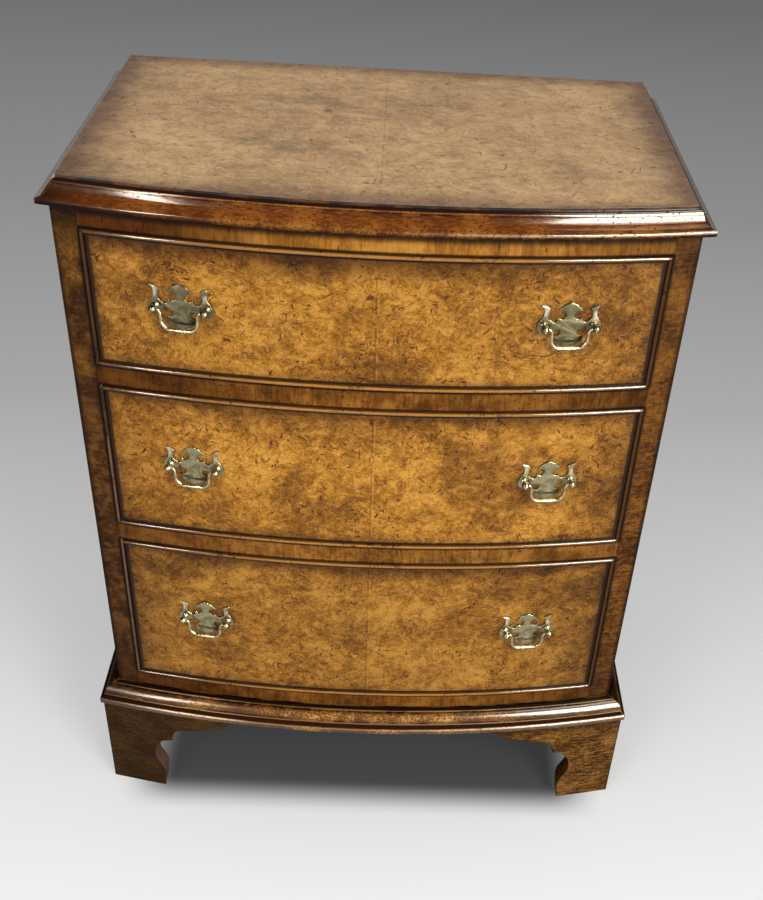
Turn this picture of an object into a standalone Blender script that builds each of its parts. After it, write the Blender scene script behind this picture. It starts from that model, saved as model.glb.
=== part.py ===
# A small bow-fronted chest of three graduated drawers, in metres, +Z up, front towards -Y.
# The origin is on the floor, in the middle of the footprint.

import bpy
import bmesh
from math import asin, atan, cos, pi, radians, sin, sqrt
from mathutils import Vector

# Carcase
overall_height = 0.750
carcase_width = 0.568
carcase_side_depth = 0.342
bow_rise = 0.0305
bow_steps = 14
side_thickness = 0.017
back_thickness = 0.006
back_rebate = 0.008
stile_width = 0.0232
stile_depth = 0.024
bottom_rail_height = 0.0424
rail_height = 0.021
frieze_height = 0.0192
tenon_length = 0.008
tenon_inset = 0.005
bottom_board_thickness = 0.015
housing_depth = 0.004

# Runners, guides, kickers and stops
runner_width = 0.020
guide_height = 0.012
stop_length = 0.008

# Top
top_board_thickness = 0.0215
top_veneer_thickness = 0.0007
top_edge_inset = 0.007
top_lipping_lap = 0.002
top_overhang = 0.010

# Base moulding and bracket feet
foot_height = 0.1275
base_moulding_height = 0.025
base_overhang = 0.021
foot_setback = 0.003
foot_thickness = 0.022
foot_length = 0.156
foot_block_size = 0.026
foot_bend_steps = 4

# Drawers, from the bottom one to the top one
drawer_names = ("bottom_drawer", "middle_drawer", "top_drawer")
drawer_height_shares = (192, 164, 135)
tail_counts = (4, 4, 3)
drawer_gap = 0.0008
front_thickness = 0.022
bead_thickness = 0.004
bead_proud = 0.003
bead_seat = 0.007
bead_nose_steps = 4
lining_thickness = 0.011
lining_inset = 0.0005
lining_drop = 0.006
corner_flat_margin = 0.002
drawer_back_thickness = 0.009
panel_thickness = 0.005
panel_lift = 0.008
panel_groove = 0.005
tail_length = 0.010
tail_slope_share = 1 / 6
tail_width_share = 0.28

# Swan-neck handles
handle_inset = 0.086
handle_lift = 0.0025
plate_half_width = 0.030
plate_thickness = 0.0016
post_spacing = 0.047
post_axis_height = 0.0088
post_sides = 8
post_head_radius = 0.0035
post_stem_radius = 0.0020
post_collar_radius = 0.0036
post_collar_height = 0.0010
post_neck_height = 0.0024
post_ball_turn_shares = (-0.28, 0.0, 0.24)
post_finial_radius = 0.0012
post_finial_height = 0.0034
post_finial_tip = 0.0006
bolt_nut_radius = 0.0042
bolt_nut_height = 0.0028
eye_radius = 0.0016
eye_depth = 0.0038
bail_drop = 0.022
bail_half_width = 0.0165
bail_pin_radius = 0.0011
bail_bar_radius = 0.0016
bail_sides = 6

# Fits
fit_gap = 0.0003
hole_gap = 0.0003
overrun = 0.002
smooth_angle = radians(32)

# Sizes that follow
half_width = carcase_width / 2
bow_radius = (half_width ** 2 + bow_rise ** 2) / (2 * bow_rise)
overall_depth = carcase_side_depth + bow_rise + base_overhang
back_y = overall_depth / 2
corner_y = back_y - carcase_side_depth
stile_back_y = corner_y + stile_depth
back_panel_y = back_y - back_thickness
side_inner = half_width - side_thickness
opening_half = half_width - stile_width
drawer_half = opening_half - drawer_gap
lining_outer = drawer_half - lining_inset
lining_inner = lining_outer - lining_thickness
flat_end = lining_inner - corner_flat_margin
front_steps = bow_steps - 2
runner_inner = side_inner - runner_width
stop_y = back_panel_y - fit_gap - stop_length
carcase_bottom = foot_height + fit_gap
carcase_top = overall_height - top_veneer_thickness - top_board_thickness - fit_gap * 2
openings_height = carcase_top - frieze_height - carcase_bottom - bottom_rail_height
drawers_height = (openings_height - rail_height * (len(drawer_names) - 1)
                  - drawer_gap * 2 * len(drawer_names))
drawer_heights = [drawers_height * share / sum(drawer_height_shares)
                  for share in drawer_height_shares]
handle_x = drawer_half - handle_inset
foot_face = base_overhang - foot_setback
post_half = post_spacing / 2


def bow(x):
    return sqrt(bow_radius ** 2 - x * x) - sqrt(bow_radius ** 2 - half_width ** 2)


def front_y(x, proud=0.0):
    return corner_y - bow(x) - proud


def even_steps(low, high, steps):
    return [low + (high - low) * step / steps for step in range(steps + 1)]


def bow_line(low, high, proud, steps=bow_steps):
    return [(x, front_y(x, proud)) for x in even_steps(low, high, steps)]


def arc_path(points):
    """Points are (a, b, bulge, steps); the bulge bends the stretch that ends at the point."""
    path = [Vector(points[0][:2])]
    for a, b, bulge, steps in points[1:]:
        start = path[-1]
        end = Vector((a, b))
        if bulge:
            chord = end - start
            radius_share = (1 + bulge * bulge) / (4 * bulge)
            normal = Vector((-chord.y, chord.x))
            centre = (start + end) / 2 + normal * (radius_share - bulge / 2)
            sweep = 4 * atan(bulge)
            arm = start - centre
            for step in range(1, steps):
                turn = sweep * step / steps
                turned = Vector((arm.x * cos(turn) - arm.y * sin(turn),
                                 arm.x * sin(turn) + arm.y * cos(turn)))
                path.append(centre + turned)
        path.append(end)
    return path


def add_prism(bm, outline, axis, low, high):
    place = {
        "X": lambda a, b, c: (c, a, b),
        "Y": lambda a, b, c: (a, c, b),
        "Z": lambda a, b, c: (a, b, c),
    }[axis]
    lower = [bm.verts.new(place(a, b, low)) for a, b in outline]
    upper = [bm.verts.new(place(a, b, high)) for a, b in outline]
    bm.faces.new(lower)
    bm.faces.new(upper)
    count = len(outline)
    for i in range(count):
        j = (i + 1) % count
        bm.faces.new((lower[i], lower[j], upper[j], upper[i]))


def add_box(bm, x_range, y_range, z_range):
    x0, x1 = sorted(x_range)
    y0, y1 = y_range
    z0, z1 = z_range
    add_prism(bm, [(x0, y0), (x1, y0), (x1, y1), (x0, y1)], "Z", z0, z1)


def add_rings(bm, rings, closed):
    """Join rings of points into a solid; an open one gets capped strip by strip."""
    loops = [[bm.verts.new(point) for point in ring] for ring in rings]
    count = len(loops[0])
    pairs = list(zip(loops, loops[1:]))
    if closed:
        pairs.append((loops[-1], loops[0]))
    for near, far in pairs:
        for i in range(count):
            j = (i + 1) % count
            bm.faces.new((near[i], near[j], far[j], far[i]))
    if closed:
        return
    for loop in (loops[0], loops[-1]):
        for i in range(count // 2 - 1):
            bm.faces.new((loop[i], loop[i + 1], loop[count - 2 - i], loop[count - 1 - i]))


def add_loft(bm, rings):
    """Join rings of points into a solid with one flat face at each end."""
    loops = [[bm.verts.new(point) for point in ring] for ring in rings]
    count = len(loops[0])
    for near, far in zip(loops, loops[1:]):
        for i in range(count):
            j = (i + 1) % count
            bm.faces.new((near[i], near[j], far[j], far[i]))
    bm.faces.new(loops[0])
    bm.faces.new(loops[-1])


def add_tube(bm, centres, radii, sides, across):
    """A round bar along a path that stays in the plane square to the vector across."""
    rings = []
    for i, centre in enumerate(centres):
        ahead = centres[min(i + 1, len(centres) - 1)]
        behind = centres[max(i - 1, 0)]
        along = (ahead - behind).normalized()
        out = along.cross(across).normalized()
        ring = []
        for side in range(sides):
            turn = 2 * pi * side / sides
            ring.append(centre + radii[i] * (cos(turn) * out + sin(turn) * across))
        rings.append(ring)
    add_loft(bm, rings)


def add_turned(bm, profile, sides, centre_x):
    """A turned piece about the -Y line through (centre_x, 0, 0); the profile is (radius, height)."""
    rings = []
    for radius, height in profile:
        if radius == 0:
            rings.append([bm.verts.new((centre_x, -height, 0))])
            continue
        ring = []
        for side in range(sides):
            turn = 2 * pi * (side + 0.5) / sides
            ring.append(bm.verts.new((centre_x + radius * cos(turn), -height, radius * sin(turn))))
        rings.append(ring)
    for near, far in zip(rings, rings[1:]):
        for i in range(sides):
            j = (i + 1) % sides
            if len(near) == 1:
                bm.faces.new((near[0], far[i], far[j]))
            elif len(far) == 1:
                bm.faces.new((near[i], near[j], far[0]))
            else:
                bm.faces.new((near[i], near[j], far[j], far[i]))


def finish_mesh(bm, name):
    bmesh.ops.recalc_face_normals(bm, faces=bm.faces)
    if bm.calc_volume(signed=True) < 0:
        bmesh.ops.reverse_faces(bm, faces=bm.faces)
    mesh = bpy.data.meshes.new(name)
    bm.to_mesh(mesh)
    bm.free()
    mesh.shade_smooth()
    mesh.set_sharp_from_angle(angle=smooth_angle)
    return mesh


def add_object(name, mesh, material=None, parent=None):
    piece = bpy.data.objects.new(name, mesh)
    bpy.context.collection.objects.link(piece)
    if material:
        mesh.materials.append(material)
    piece.parent = parent
    return piece


def add_cutter(name, bm, target, operation="DIFFERENCE"):
    cutter = add_object(name, finish_mesh(bm, name), parent=target.parent)
    cutter.hide_render = True
    cutter.display_type = "WIRE"
    boolean = target.modifiers.new(operation.title(), "BOOLEAN")
    boolean.operation = operation
    boolean.solver = "EXACT"
    boolean.object = cutter


def make_material(name, colour, roughness, metallic=0.0):
    material = bpy.data.materials.new(name)
    material.use_nodes = True
    shader = material.node_tree.nodes["Principled BSDF"]
    shader.inputs["Base Color"].default_value = (*colour, 1)
    shader.inputs["Roughness"].default_value = roughness
    shader.inputs["Metallic"].default_value = metallic
    material.diffuse_color = (*colour, 1)
    return material


def board(name, outline, low, high, material, axis="Z", parent=None):
    bm = bmesh.new()
    add_prism(bm, outline, axis, low, high)
    return add_object(name, finish_mesh(bm, name), material, parent)


def mirrored(outline, side):
    return [(side * x, y) for x, y in outline]


def tenon_range(low, high):
    return low + tenon_inset, high - tenon_inset


def rail(name, low, high, material):
    outer = opening_half - fit_gap
    outline = bow_line(-outer, outer, 0) + [(outer, stile_back_y), (-outer, stile_back_y)]
    piece = board(name, outline, low, high, material)
    bm = bmesh.new()
    reach = opening_half + tenon_length
    add_box(bm, (-reach, reach), tenon_range(corner_y, stile_back_y), tenon_range(low, high))
    add_cutter("tenons_of_" + name, bm, piece, "UNION")
    return low, high


def stile(name, side, top, rails, material):
    outline = bow_line(opening_half, half_width, 0, 2)
    outline += [(half_width, stile_back_y - fit_gap), (opening_half, stile_back_y - fit_gap)]
    piece = board(name, mirrored(outline, side), carcase_bottom, top, material)
    bm = bmesh.new()
    y_low, y_high = tenon_range(corner_y, stile_back_y)
    for low, high in rails:
        z_low, z_high = tenon_range(low, high)
        add_box(bm, (side * (opening_half - overrun), side * (opening_half + tenon_length + fit_gap)),
                (y_low - fit_gap, y_high + fit_gap), (z_low - fit_gap, z_high + fit_gap))
    add_cutter("mortises_of_" + name, bm, piece)


def side_panel(name, side, top, board_top, material):
    rebate = side_inner + back_rebate
    outline = [(side_inner, stile_back_y), (half_width, stile_back_y), (half_width, back_y),
               (rebate, back_y), (rebate, back_panel_y - fit_gap), (side_inner, back_panel_y - fit_gap)]
    piece = board(name, mirrored(outline, side), carcase_bottom, top, material)
    bm = bmesh.new()
    add_box(bm, (side * (side_inner - overrun), side * (side_inner + housing_depth + fit_gap)),
            (stile_back_y - overrun, back_panel_y + overrun),
            (board_top - bottom_board_thickness - fit_gap, board_top + fit_gap))
    add_cutter("housing_of_" + name, bm, piece)


def back_panel(top, material):
    half = side_inner + back_rebate - fit_gap
    outline = [(-half, back_panel_y), (half, back_panel_y), (half, back_y), (-half, back_y)]
    board("back_panel", outline, carcase_bottom, top, material)


def bottom_board(top, material):
    half = side_inner + housing_depth
    face = side_inner - fit_gap
    low = top - bottom_board_thickness
    guide = top + guide_height
    outline = [(-half, low), (half, low), (half, top), (face, top), (face, guide),
               (opening_half, guide), (opening_half, top), (-opening_half, top),
               (-opening_half, guide), (-face, guide), (-face, top), (-half, top)]
    near = stile_back_y + fit_gap
    far = back_panel_y - fit_gap
    piece = board("bottom_board", outline, near, far, material, "Y")
    bm = bmesh.new()
    for side in (-1, 1):
        add_box(bm, (side * runner_inner, side * (opening_half + overrun)), (stop_y, far),
                (top - overrun, guide))
    add_cutter("stops_of_bottom_board", bm, piece, "UNION")


def runner(name, side, low, high, material):
    face = side_inner - fit_gap
    guide = high + guide_height
    outline = [(runner_inner, low), (face, low), (face, guide), (opening_half, guide),
               (opening_half, high), (runner_inner, high)]
    far = back_panel_y - fit_gap
    piece = board(name, mirrored(outline, side), stile_back_y + fit_gap, far, material, "Y")
    bm = bmesh.new()
    add_box(bm, (side * runner_inner, side * (opening_half + overrun)), (stop_y, far),
            (high - overrun, guide))
    add_cutter("stop_of_" + name, bm, piece, "UNION")


def kicker(name, side, low, high, material):
    face = side_inner - fit_gap
    outline = [(runner_inner, low), (face, low), (face, high), (runner_inner, high)]
    board(name, mirrored(outline, side), stile_back_y + fit_gap, back_panel_y - fit_gap, material, "Y")


def carcase(materials):
    """Build the frame of the chest and give the floor of each drawer opening and the top's seat."""
    floors = []
    rails = []
    level = carcase_bottom + bottom_rail_height
    rails.append(rail("bottom_rail", carcase_bottom, level, materials["cross"]))
    bottom_board(level, materials["lining"])
    levels = (("drawer_rail_lower", "runner_lower"), ("drawer_rail_upper", "runner_upper"))
    for height, (rail_name, runner_name) in zip(drawer_heights, levels):
        floors.append(level)
        low = level + drawer_gap * 2 + height
        level = low + rail_height
        rails.append(rail(rail_name, low, level, materials["cross"]))
        for side, hand in ((-1, "left"), (1, "right")):
            runner(runner_name + "_" + hand, side, low, level, materials["lining"])
    floors.append(level)
    frieze = level + drawer_gap * 2 + drawer_heights[-1]
    top = frieze + frieze_height
    rails.append(rail("frieze_rail", frieze, top, materials["cross"]))
    for side, hand in ((-1, "left"), (1, "right")):
        kicker("kicker_" + hand, side, frieze, top, materials["lining"])
        stile("stile_" + hand, side, top, rails, materials["cross"])
        side_panel("side_panel_" + hand, side, top, floors[0], materials["veneer"])
    back_panel(top, materials["lining"])
    return floors, top


def moulding_run(name, profile, material):
    """A bowed length of moulding, mitred at both ends; the profile is (offset, height)."""
    rings = []
    for share in even_steps(-1, 1, bow_steps):
        ring = []
        for offset, height in profile:
            x = share * (half_width + offset - fit_gap)
            ring.append((x, front_y(x, offset), height))
        rings.append(ring)
    bm = bmesh.new()
    add_loft(bm, rings)
    add_object(name, finish_mesh(bm, name), material)


def moulding_side(name, side, profile, material):
    front = []
    back = []
    for offset, height in profile:
        x = half_width + offset
        front.append((side * x, front_y(x, offset) + fit_gap, height))
        back.append((side * x, back_y, height))
    bm = bmesh.new()
    add_loft(bm, [front, back])
    add_object(name, finish_mesh(bm, name), material)


def mouldings(kind, profile, material):
    moulding_run(kind + "_front", profile, material)
    for side, hand in ((-1, "left"), (1, "right")):
        moulding_side(kind + "_" + hand, side, profile, material)


# Section of the top moulding: shares of its full width, from the inner edge outwards, and of its
# height, from the underside up. Each point has the bulge and the steps of the stretch before it.
top_moulding_shares = (
    (0.00, 0.00, 0, 1),
    (0.96, 0.00, 0, 1),
    (1.00, 0.05, 0.3, 2),
    (1.00, 0.19, 0, 1),
    (0.96, 0.25, 0.3, 2),
    (0.36, 0.71, -0.36, 5),
    (0.33, 0.71, 0, 1),
    (0.13, 0.90, 0.42, 4),
    (0.10, 0.92, 0, 1),
    (0.10, 1.00, 0, 1),
    (0.00, 1.00, 0, 1),
)

# Section of the base moulding, in the same way.
base_moulding_shares = (
    (0.00, 0.00, 0, 1),
    (0.96, 0.00, 0, 1),
    (1.00, 0.03, 0.3, 2),
    (1.00, 0.25, 0, 1),
    (0.97, 0.28, 0.3, 2),
    (0.78, 0.50, -0.25, 3),
    (0.78, 0.53, 0, 1),
    (0.73, 0.53, 0, 1),
    (0.29, 0.89, 0.40, 5),
    (0.29, 0.93, 0, 1),
    (0.00, 1.00, -0.18, 2),
)


def section(shares, inner, outer, low, high):
    points = []
    for across, up, bulge, steps in shares:
        points.append((inner + (outer - inner) * across, low + (high - low) * up, bulge, steps))
    return [tuple(point) for point in arc_path(points)]


def top(seat, materials):
    low = seat + fit_gap
    high = low + top_board_thickness
    inset = top_edge_inset + top_lipping_lap
    half = half_width - inset
    outline = bow_line(-half, half, -inset) + [(half, back_y), (-half, back_y)]
    board("top_board", outline, low, high, materials["lining"])
    profile = section(top_moulding_shares, fit_gap - inset, top_overhang, low, high)
    mouldings("top_moulding", profile, materials["moulding"])
    half = half_width - top_edge_inset
    outline = bow_line(-half, half, -top_edge_inset) + [(half, back_y), (-half, back_y)]
    sheet = high + fit_gap
    board("top_veneer", outline, sheet, sheet + top_veneer_thickness, materials["burr"])


# Outline of a bracket foot: shares of its length, inwards from the corner, and of its height.
foot_shares = (
    (0.000, 0.000, 0, 1),
    (0.404, 0.000, 0, 1),
    (0.417, 0.180, 0, 1),
    (0.375, 0.315, 0.14, 2),
    (0.426, 0.620, -0.38, 6),
    (0.500, 0.645, 0, 1),
    (0.545, 0.786, -0.32, 3),
    (0.800, 0.865, 0.04, 2),
    (0.910, 0.928, 0.12, 2),
    (1.000, 1.000, -0.08, 2),
    (0.000, 1.000, 0, 1),
)


def foot_outline():
    height = foot_height - fit_gap
    points = [(foot_length * across, height * up, bulge, steps)
              for across, up, bulge, steps in foot_shares]
    return [tuple(point) for point in arc_path(points)]


def front_foot(name, side, material):
    """The front bracket, cut square, then bent to the bow and mitred at its corner."""
    bm = bmesh.new()
    add_prism(bm, foot_outline(), "Y", 0, 1)
    for x in even_steps(0, foot_length, foot_bend_steps)[1:-1]:
        bmesh.ops.bisect_plane(bm, geom=bm.verts[:] + bm.edges[:] + bm.faces[:],
                               plane_co=(x, 0, 0), plane_no=(1, 0, 0))
    bmesh.ops.triangulate(bm, faces=bm.faces)
    corner = half_width + foot_face - fit_gap
    inner = corner - foot_thickness
    for vert in bm.verts:
        behind = vert.co.y
        offset = foot_face - foot_thickness * behind
        x = min(corner - vert.co.x, corner + (inner - corner) * behind)
        vert.co = Vector((side * x, front_y(x, offset), vert.co.z))
    add_object(name, finish_mesh(bm, name), material)


def side_foot(name, side, at_front, material):
    """A side bracket with the square block glued behind it at its corner."""
    outer = half_width + foot_face
    inner = outer - foot_thickness
    corner = front_y(outer, foot_face) + fit_gap
    rings = []
    for x, offset in ((outer, foot_face), (inner, foot_face - foot_thickness)):
        mitre = front_y(x, offset) + fit_gap
        ring = []
        for along, height in foot_outline():
            y = max(corner + along, mitre) if at_front else back_y - along
            ring.append((side * x, y, height))
        rings.append(ring)
    bm = bmesh.new()
    add_loft(bm, rings)
    piece = add_object(name, finish_mesh(bm, name), material)
    bm = bmesh.new()
    block = back_y - foot_block_size
    if at_front:
        block = front_y(inner, foot_face - foot_thickness) + fit_gap * 2
    add_box(bm, (side * (inner - foot_block_size), side * (inner + overrun)),
            (block, block + foot_block_size), (0, foot_height - fit_gap))
    add_cutter("block_of_" + name, bm, piece, "UNION")


def base(materials):
    profile = section(base_moulding_shares, fit_gap, base_overhang, foot_height,
                      foot_height + base_moulding_height)
    mouldings("base_moulding", profile, materials["moulding"])
    for side, hand in ((-1, "left"), (1, "right")):
        front_foot("front_foot_" + hand, side, materials["foot"])
        side_foot("front_foot_" + hand + "_return", side, True, materials["foot"])
        side_foot("rear_foot_" + hand, side, False, materials["foot"])


def inner_face_y(x):
    return front_y(min(abs(x), flat_end)) + front_thickness


def front_ring(half, low, high, depth_at):
    stations = [-half] + even_steps(-flat_end, flat_end, front_steps) + [half]
    ring = [(x, depth_at(x), low) for x in stations]
    return ring + [(x, depth_at(x), high) for x in reversed(stations)]


def tail_places(low, high, count):
    pitch = (high - low) / count
    return [low + pitch * (i + 0.5) for i in range(count)], pitch * tail_width_share


def tail_outline(centre, half, root, length, grow=0.0):
    """One dovetail in the (y, z) plane; a negative length points it to the front."""
    tip = half + abs(length) * tail_slope_share + grow
    base_half = half + grow
    direction = 1 if length > 0 else -1
    start = root - direction * grow
    end = root + length + direction * grow
    lower = [(start, centre - base_half), (end, centre - tip)]
    upper = [(end, centre + tip), (start, centre + base_half)]
    return lower + upper


def drawer_levels(height):
    """Heights in the drawer's own frame, whose zero is the floor of its opening."""
    front_low = drawer_gap
    front_high = drawer_gap + height
    lining_low = fit_gap
    lining_high = front_high - lining_drop
    panel_low = lining_low + panel_lift
    panel_high = panel_low + panel_thickness
    back_low = panel_high + fit_gap
    back_high = lining_high - lining_drop
    return front_low, front_high, lining_low, lining_high, panel_low, panel_high, back_low, back_high


def drawer_front(name, height, tails, material, parent):
    front_low, front_high, lining_low, lining_high, panel_low, panel_high, _, _ = drawer_levels(height)
    inset = bead_thickness + fit_gap
    bm = bmesh.new()
    rings = [
        front_ring(drawer_half - inset, front_low + inset, front_high - inset, front_y),
        front_ring(drawer_half - inset, front_low + inset, front_high - inset,
                   lambda x: front_y(x, -bead_seat)),
        front_ring(drawer_half, front_low, front_high, lambda x: front_y(x, -bead_seat)),
        front_ring(drawer_half, front_low, front_high, inner_face_y),
    ]
    add_rings(bm, rings, False)
    piece = add_object(name + "_front", finish_mesh(bm, name), material, parent)

    bm = bmesh.new()
    groove_half = lining_inner + panel_groove
    stations = [-groove_half] + even_steps(-flat_end, flat_end, front_steps) + [groove_half]
    slab = []
    for shift in (-panel_groove, overrun):
        ring = [(x, inner_face_y(x) + shift, panel_low - fit_gap) for x in stations]
        ring += [(x, inner_face_y(x) + shift, panel_high + fit_gap) for x in reversed(stations)]
        slab.append(ring)
    add_rings(bm, slab, False)
    add_cutter("groove_of_" + name + "_front", bm, piece)

    bm = bmesh.new()
    centres, half = tail_places(lining_low, lining_high, tails)
    root = inner_face_y(drawer_half) + overrun
    for side in (-1, 1):
        for centre in centres:
            outline = tail_outline(centre, half, root, -(tail_length + overrun), fit_gap)
            x_range = sorted((side * (lining_inner - fit_gap), side * (drawer_half + overrun)))
            add_prism(bm, outline, "X", *x_range)
    add_cutter("sockets_of_" + name + "_front", bm, piece)

    bm = bmesh.new()
    bolt_depth = front_thickness + overrun
    for side in (-1, 1):
        centre = Vector((side * handle_x, 0, handle_height(height)))
        turn = handle_turn(centre.x)
        out = Vector((sin(turn), -cos(turn), 0))
        across = Vector((cos(turn), sin(turn), 0))
        centre.y = front_y(centre.x)
        for post in (-post_half, post_half):
            middle = centre + across * post
            ends = [middle + out * overrun, middle - out * bolt_depth]
            add_tube(bm, ends, [post_stem_radius + hole_gap] * 2, post_sides, Vector((0, 0, 1)))
    add_cutter("bolt_holes_of_" + name + "_front", bm, piece)


def cock_bead(name, height, material, parent):
    front_low = drawer_gap
    front_high = drawer_gap + height
    radius = bead_thickness / 2
    nose_start = bead_proud - radius
    corners = [(0.0, -(bead_seat - fit_gap))]
    for step in range(bead_nose_steps + 1):
        turn = pi * step / bead_nose_steps
        corners.append((radius - radius * cos(turn), nose_start + radius * sin(turn)))
    corners.append((bead_thickness, -(bead_seat - fit_gap)))
    rings = []
    for inset, proud in corners:
        rings.append(front_ring(drawer_half - inset, front_low + inset, front_high - inset,
                                lambda x, proud=proud: front_y(x, proud)))
    bm = bmesh.new()
    add_rings(bm, rings, True)
    add_object(name + "_cock_bead", finish_mesh(bm, name + "_cock_bead"), material, parent)


def drawer_linings(name, height, tails, material, parent):
    _, _, lining_low, lining_high, panel_low, panel_high, back_low, back_high = drawer_levels(height)
    shoulder = inner_face_y(drawer_half) + fit_gap
    rear = stop_y - fit_gap
    rear_shoulder = rear - drawer_back_thickness
    centres, half = tail_places(lining_low, lining_high, tails)
    rear_centres, rear_half = tail_places(back_low, back_high, tails)

    outline = [(shoulder, lining_low), (rear_shoulder, lining_low)]
    for centre in rear_centres:
        outline += tail_outline(centre, rear_half, rear_shoulder, drawer_back_thickness)
    outline += [(rear_shoulder, lining_high), (shoulder, lining_high)]
    for centre in reversed(centres):
        outline += reversed(tail_outline(centre, half, shoulder, fit_gap - tail_length))
    for side, hand in ((-1, "left"), (1, "right")):
        x_range = sorted((side * lining_inner, side * lining_outer))
        piece = board(name + "_side_" + hand, outline, *x_range, material, "X", parent)
        bm = bmesh.new()
        add_box(bm, (side * (lining_inner - overrun), side * (lining_inner + panel_groove)),
                (shoulder - tail_length - overrun, rear + overrun),
                (panel_low - fit_gap, panel_high + fit_gap))
        add_cutter("groove_of_" + name + "_side_" + hand, bm, piece)

    low_y = rear_shoulder + fit_gap
    outline = [(-lining_outer, low_y), (lining_outer, low_y),
               (lining_outer, rear), (-lining_outer, rear)]
    piece = board(name + "_back", outline, back_low, back_high, material, parent=parent)
    bm = bmesh.new()
    for side in (-1, 1):
        for centre in rear_centres:
            socket = tail_outline(centre, rear_half, rear_shoulder - overrun,
                                  drawer_back_thickness + overrun * 2, fit_gap)
            x_range = sorted((side * (lining_inner - fit_gap), side * (lining_outer + overrun)))
            add_prism(bm, socket, "X", *x_range)
    add_cutter("sockets_of_" + name + "_back", bm, piece)

    panel_half = lining_inner + panel_groove - fit_gap
    stations = [-panel_half] + even_steps(-flat_end, flat_end, front_steps) + [panel_half]
    outline = [(x, inner_face_y(x) - panel_groove + fit_gap) for x in stations]
    outline += [(panel_half, rear), (-panel_half, rear)]
    board(name + "_bottom", outline, panel_low, panel_high, material, parent=parent)


def handle_height(height):
    return drawer_gap + height / 2 + handle_lift


def handle_turn(x):
    return asin(x / bow_radius)


# Right half of the pierced plate, from the crest down: shares of the half width, across and up
# from the middle between the posts, then the bulge and steps of the stretch before each point.
plate_shares = (
    (0.000, 0.760, 0, 1),
    (0.115, 0.715, -0.20, 2),
    (0.290, 0.620, -0.26, 2),
    (0.435, 0.455, -0.24, 2),
    (0.290, 0.480, 0.12, 1),
    (0.290, 0.200, 1.05, 6),
    (0.400, 0.285, 0.24, 2),
    (0.440, 0.150, -0.10, 1),
    (0.520, 0.120, 0.30, 1),
    (0.640, 0.220, -0.06, 1),
    (0.635, 0.430, 0.16, 2),
    (0.575, 0.545, 0.10, 1),
    (0.930, 0.655, -0.16, 2),
    (0.790, 0.410, 0.30, 3),
    (0.900, 0.200, 0.22, 2),
    (1.000, -0.050, -0.12, 2),
    (0.860, -0.250, -0.36, 3),
    (0.740, -0.160, 0.10, 1),
    (0.430, -0.130, 0.06, 1),
    (0.330, -0.130, 0, 1),
    (0.320, -0.345, 0.95, 5),
    (0.420, -0.350, 0.10, 1),
    (0.270, -0.590, -0.28, 3),
    (0.120, -0.690, -0.26, 2),
    (0.000, -0.750, -0.20, 2),
)


def plate_outline():
    points = [(plate_half_width * across, plate_half_width * up, bulge, steps)
              for across, up, bulge, steps in plate_shares]
    right = [tuple(point) for point in arc_path(points)]
    left = [(-x, z) for x, z in right[1:-1]]
    return right + left[::-1]


def post_profile():
    nut_face = front_thickness + 2 * fit_gap
    plate_face = fit_gap + plate_thickness
    collar = plate_face + post_collar_height
    neck = collar + post_neck_height
    ball = []
    for turn_share in post_ball_turn_shares:
        turn = pi * turn_share
        ball.append((post_head_radius * cos(turn), post_axis_height + post_head_radius * sin(turn)))
    finial = post_axis_height + post_finial_height
    return [
        (0, -(nut_face + bolt_nut_height)),
        (bolt_nut_radius, -(nut_face + bolt_nut_height)),
        (bolt_nut_radius, -nut_face),
        (post_stem_radius, -nut_face),
        (post_stem_radius, plate_face - plate_thickness / 2),
        (post_collar_radius, plate_face - plate_thickness / 2),
        (post_collar_radius, collar),
        (post_stem_radius, neck),
        *ball,
        (post_finial_radius, finial),
        (0, finial + post_finial_tip),
    ]


def bake(piece, name):
    """Turn a piece and its booleans into one plain mesh that copies can share."""
    bpy.context.view_layer.update()
    graph = bpy.context.evaluated_depsgraph_get()
    mesh = bpy.data.meshes.new_from_object(piece.evaluated_get(graph))
    mesh.name = name
    cutters = [modifier.object for modifier in piece.modifiers]
    for item in [piece, *cutters]:
        bpy.data.objects.remove(item)
    mesh.shade_smooth()
    mesh.set_sharp_from_angle(angle=smooth_angle)
    return mesh


def plate_mesh():
    bm = bmesh.new()
    add_prism(bm, plate_outline(), "Y", -(fit_gap + plate_thickness), -fit_gap)
    piece = add_object("handle_plate", finish_mesh(bm, "handle_plate"))
    for post in (-post_half, post_half):
        bm = bmesh.new()
        add_turned(bm, post_profile(), post_sides, post)
        add_cutter("handle_post", bm, piece, "UNION")
    for post, side in ((-post_half, -1), (post_half, 1)):
        bm = bmesh.new()
        outer = post - side * (post_head_radius - eye_depth)
        inner = post - side * (post_head_radius + overrun)
        ends = [Vector((outer, -post_axis_height, 0)), Vector((inner, -post_axis_height, 0))]
        add_tube(bm, ends, [eye_radius] * 2, bail_sides, Vector((0, 0, 1)))
        add_cutter("handle_eye", bm, piece)
    return bake(piece, "handle_plate")


# Right half of the swan-neck bail, from the pin down: shares of its half width and of its drop,
# with the bulge and the steps of the stretch before each point.
bail_shares = (
    (1.180, 0.000, 0, 1),
    (1.000, -0.080, 0.25, 2),
    (0.960, -0.280, 0.14, 2),
    (1.060, -0.600, 0.02, 2),
    (1.040, -0.790, -0.16, 2),
    (0.720, -0.990, -0.32, 4),
    (0.000, -1.000, 0, 1),
)


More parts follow.
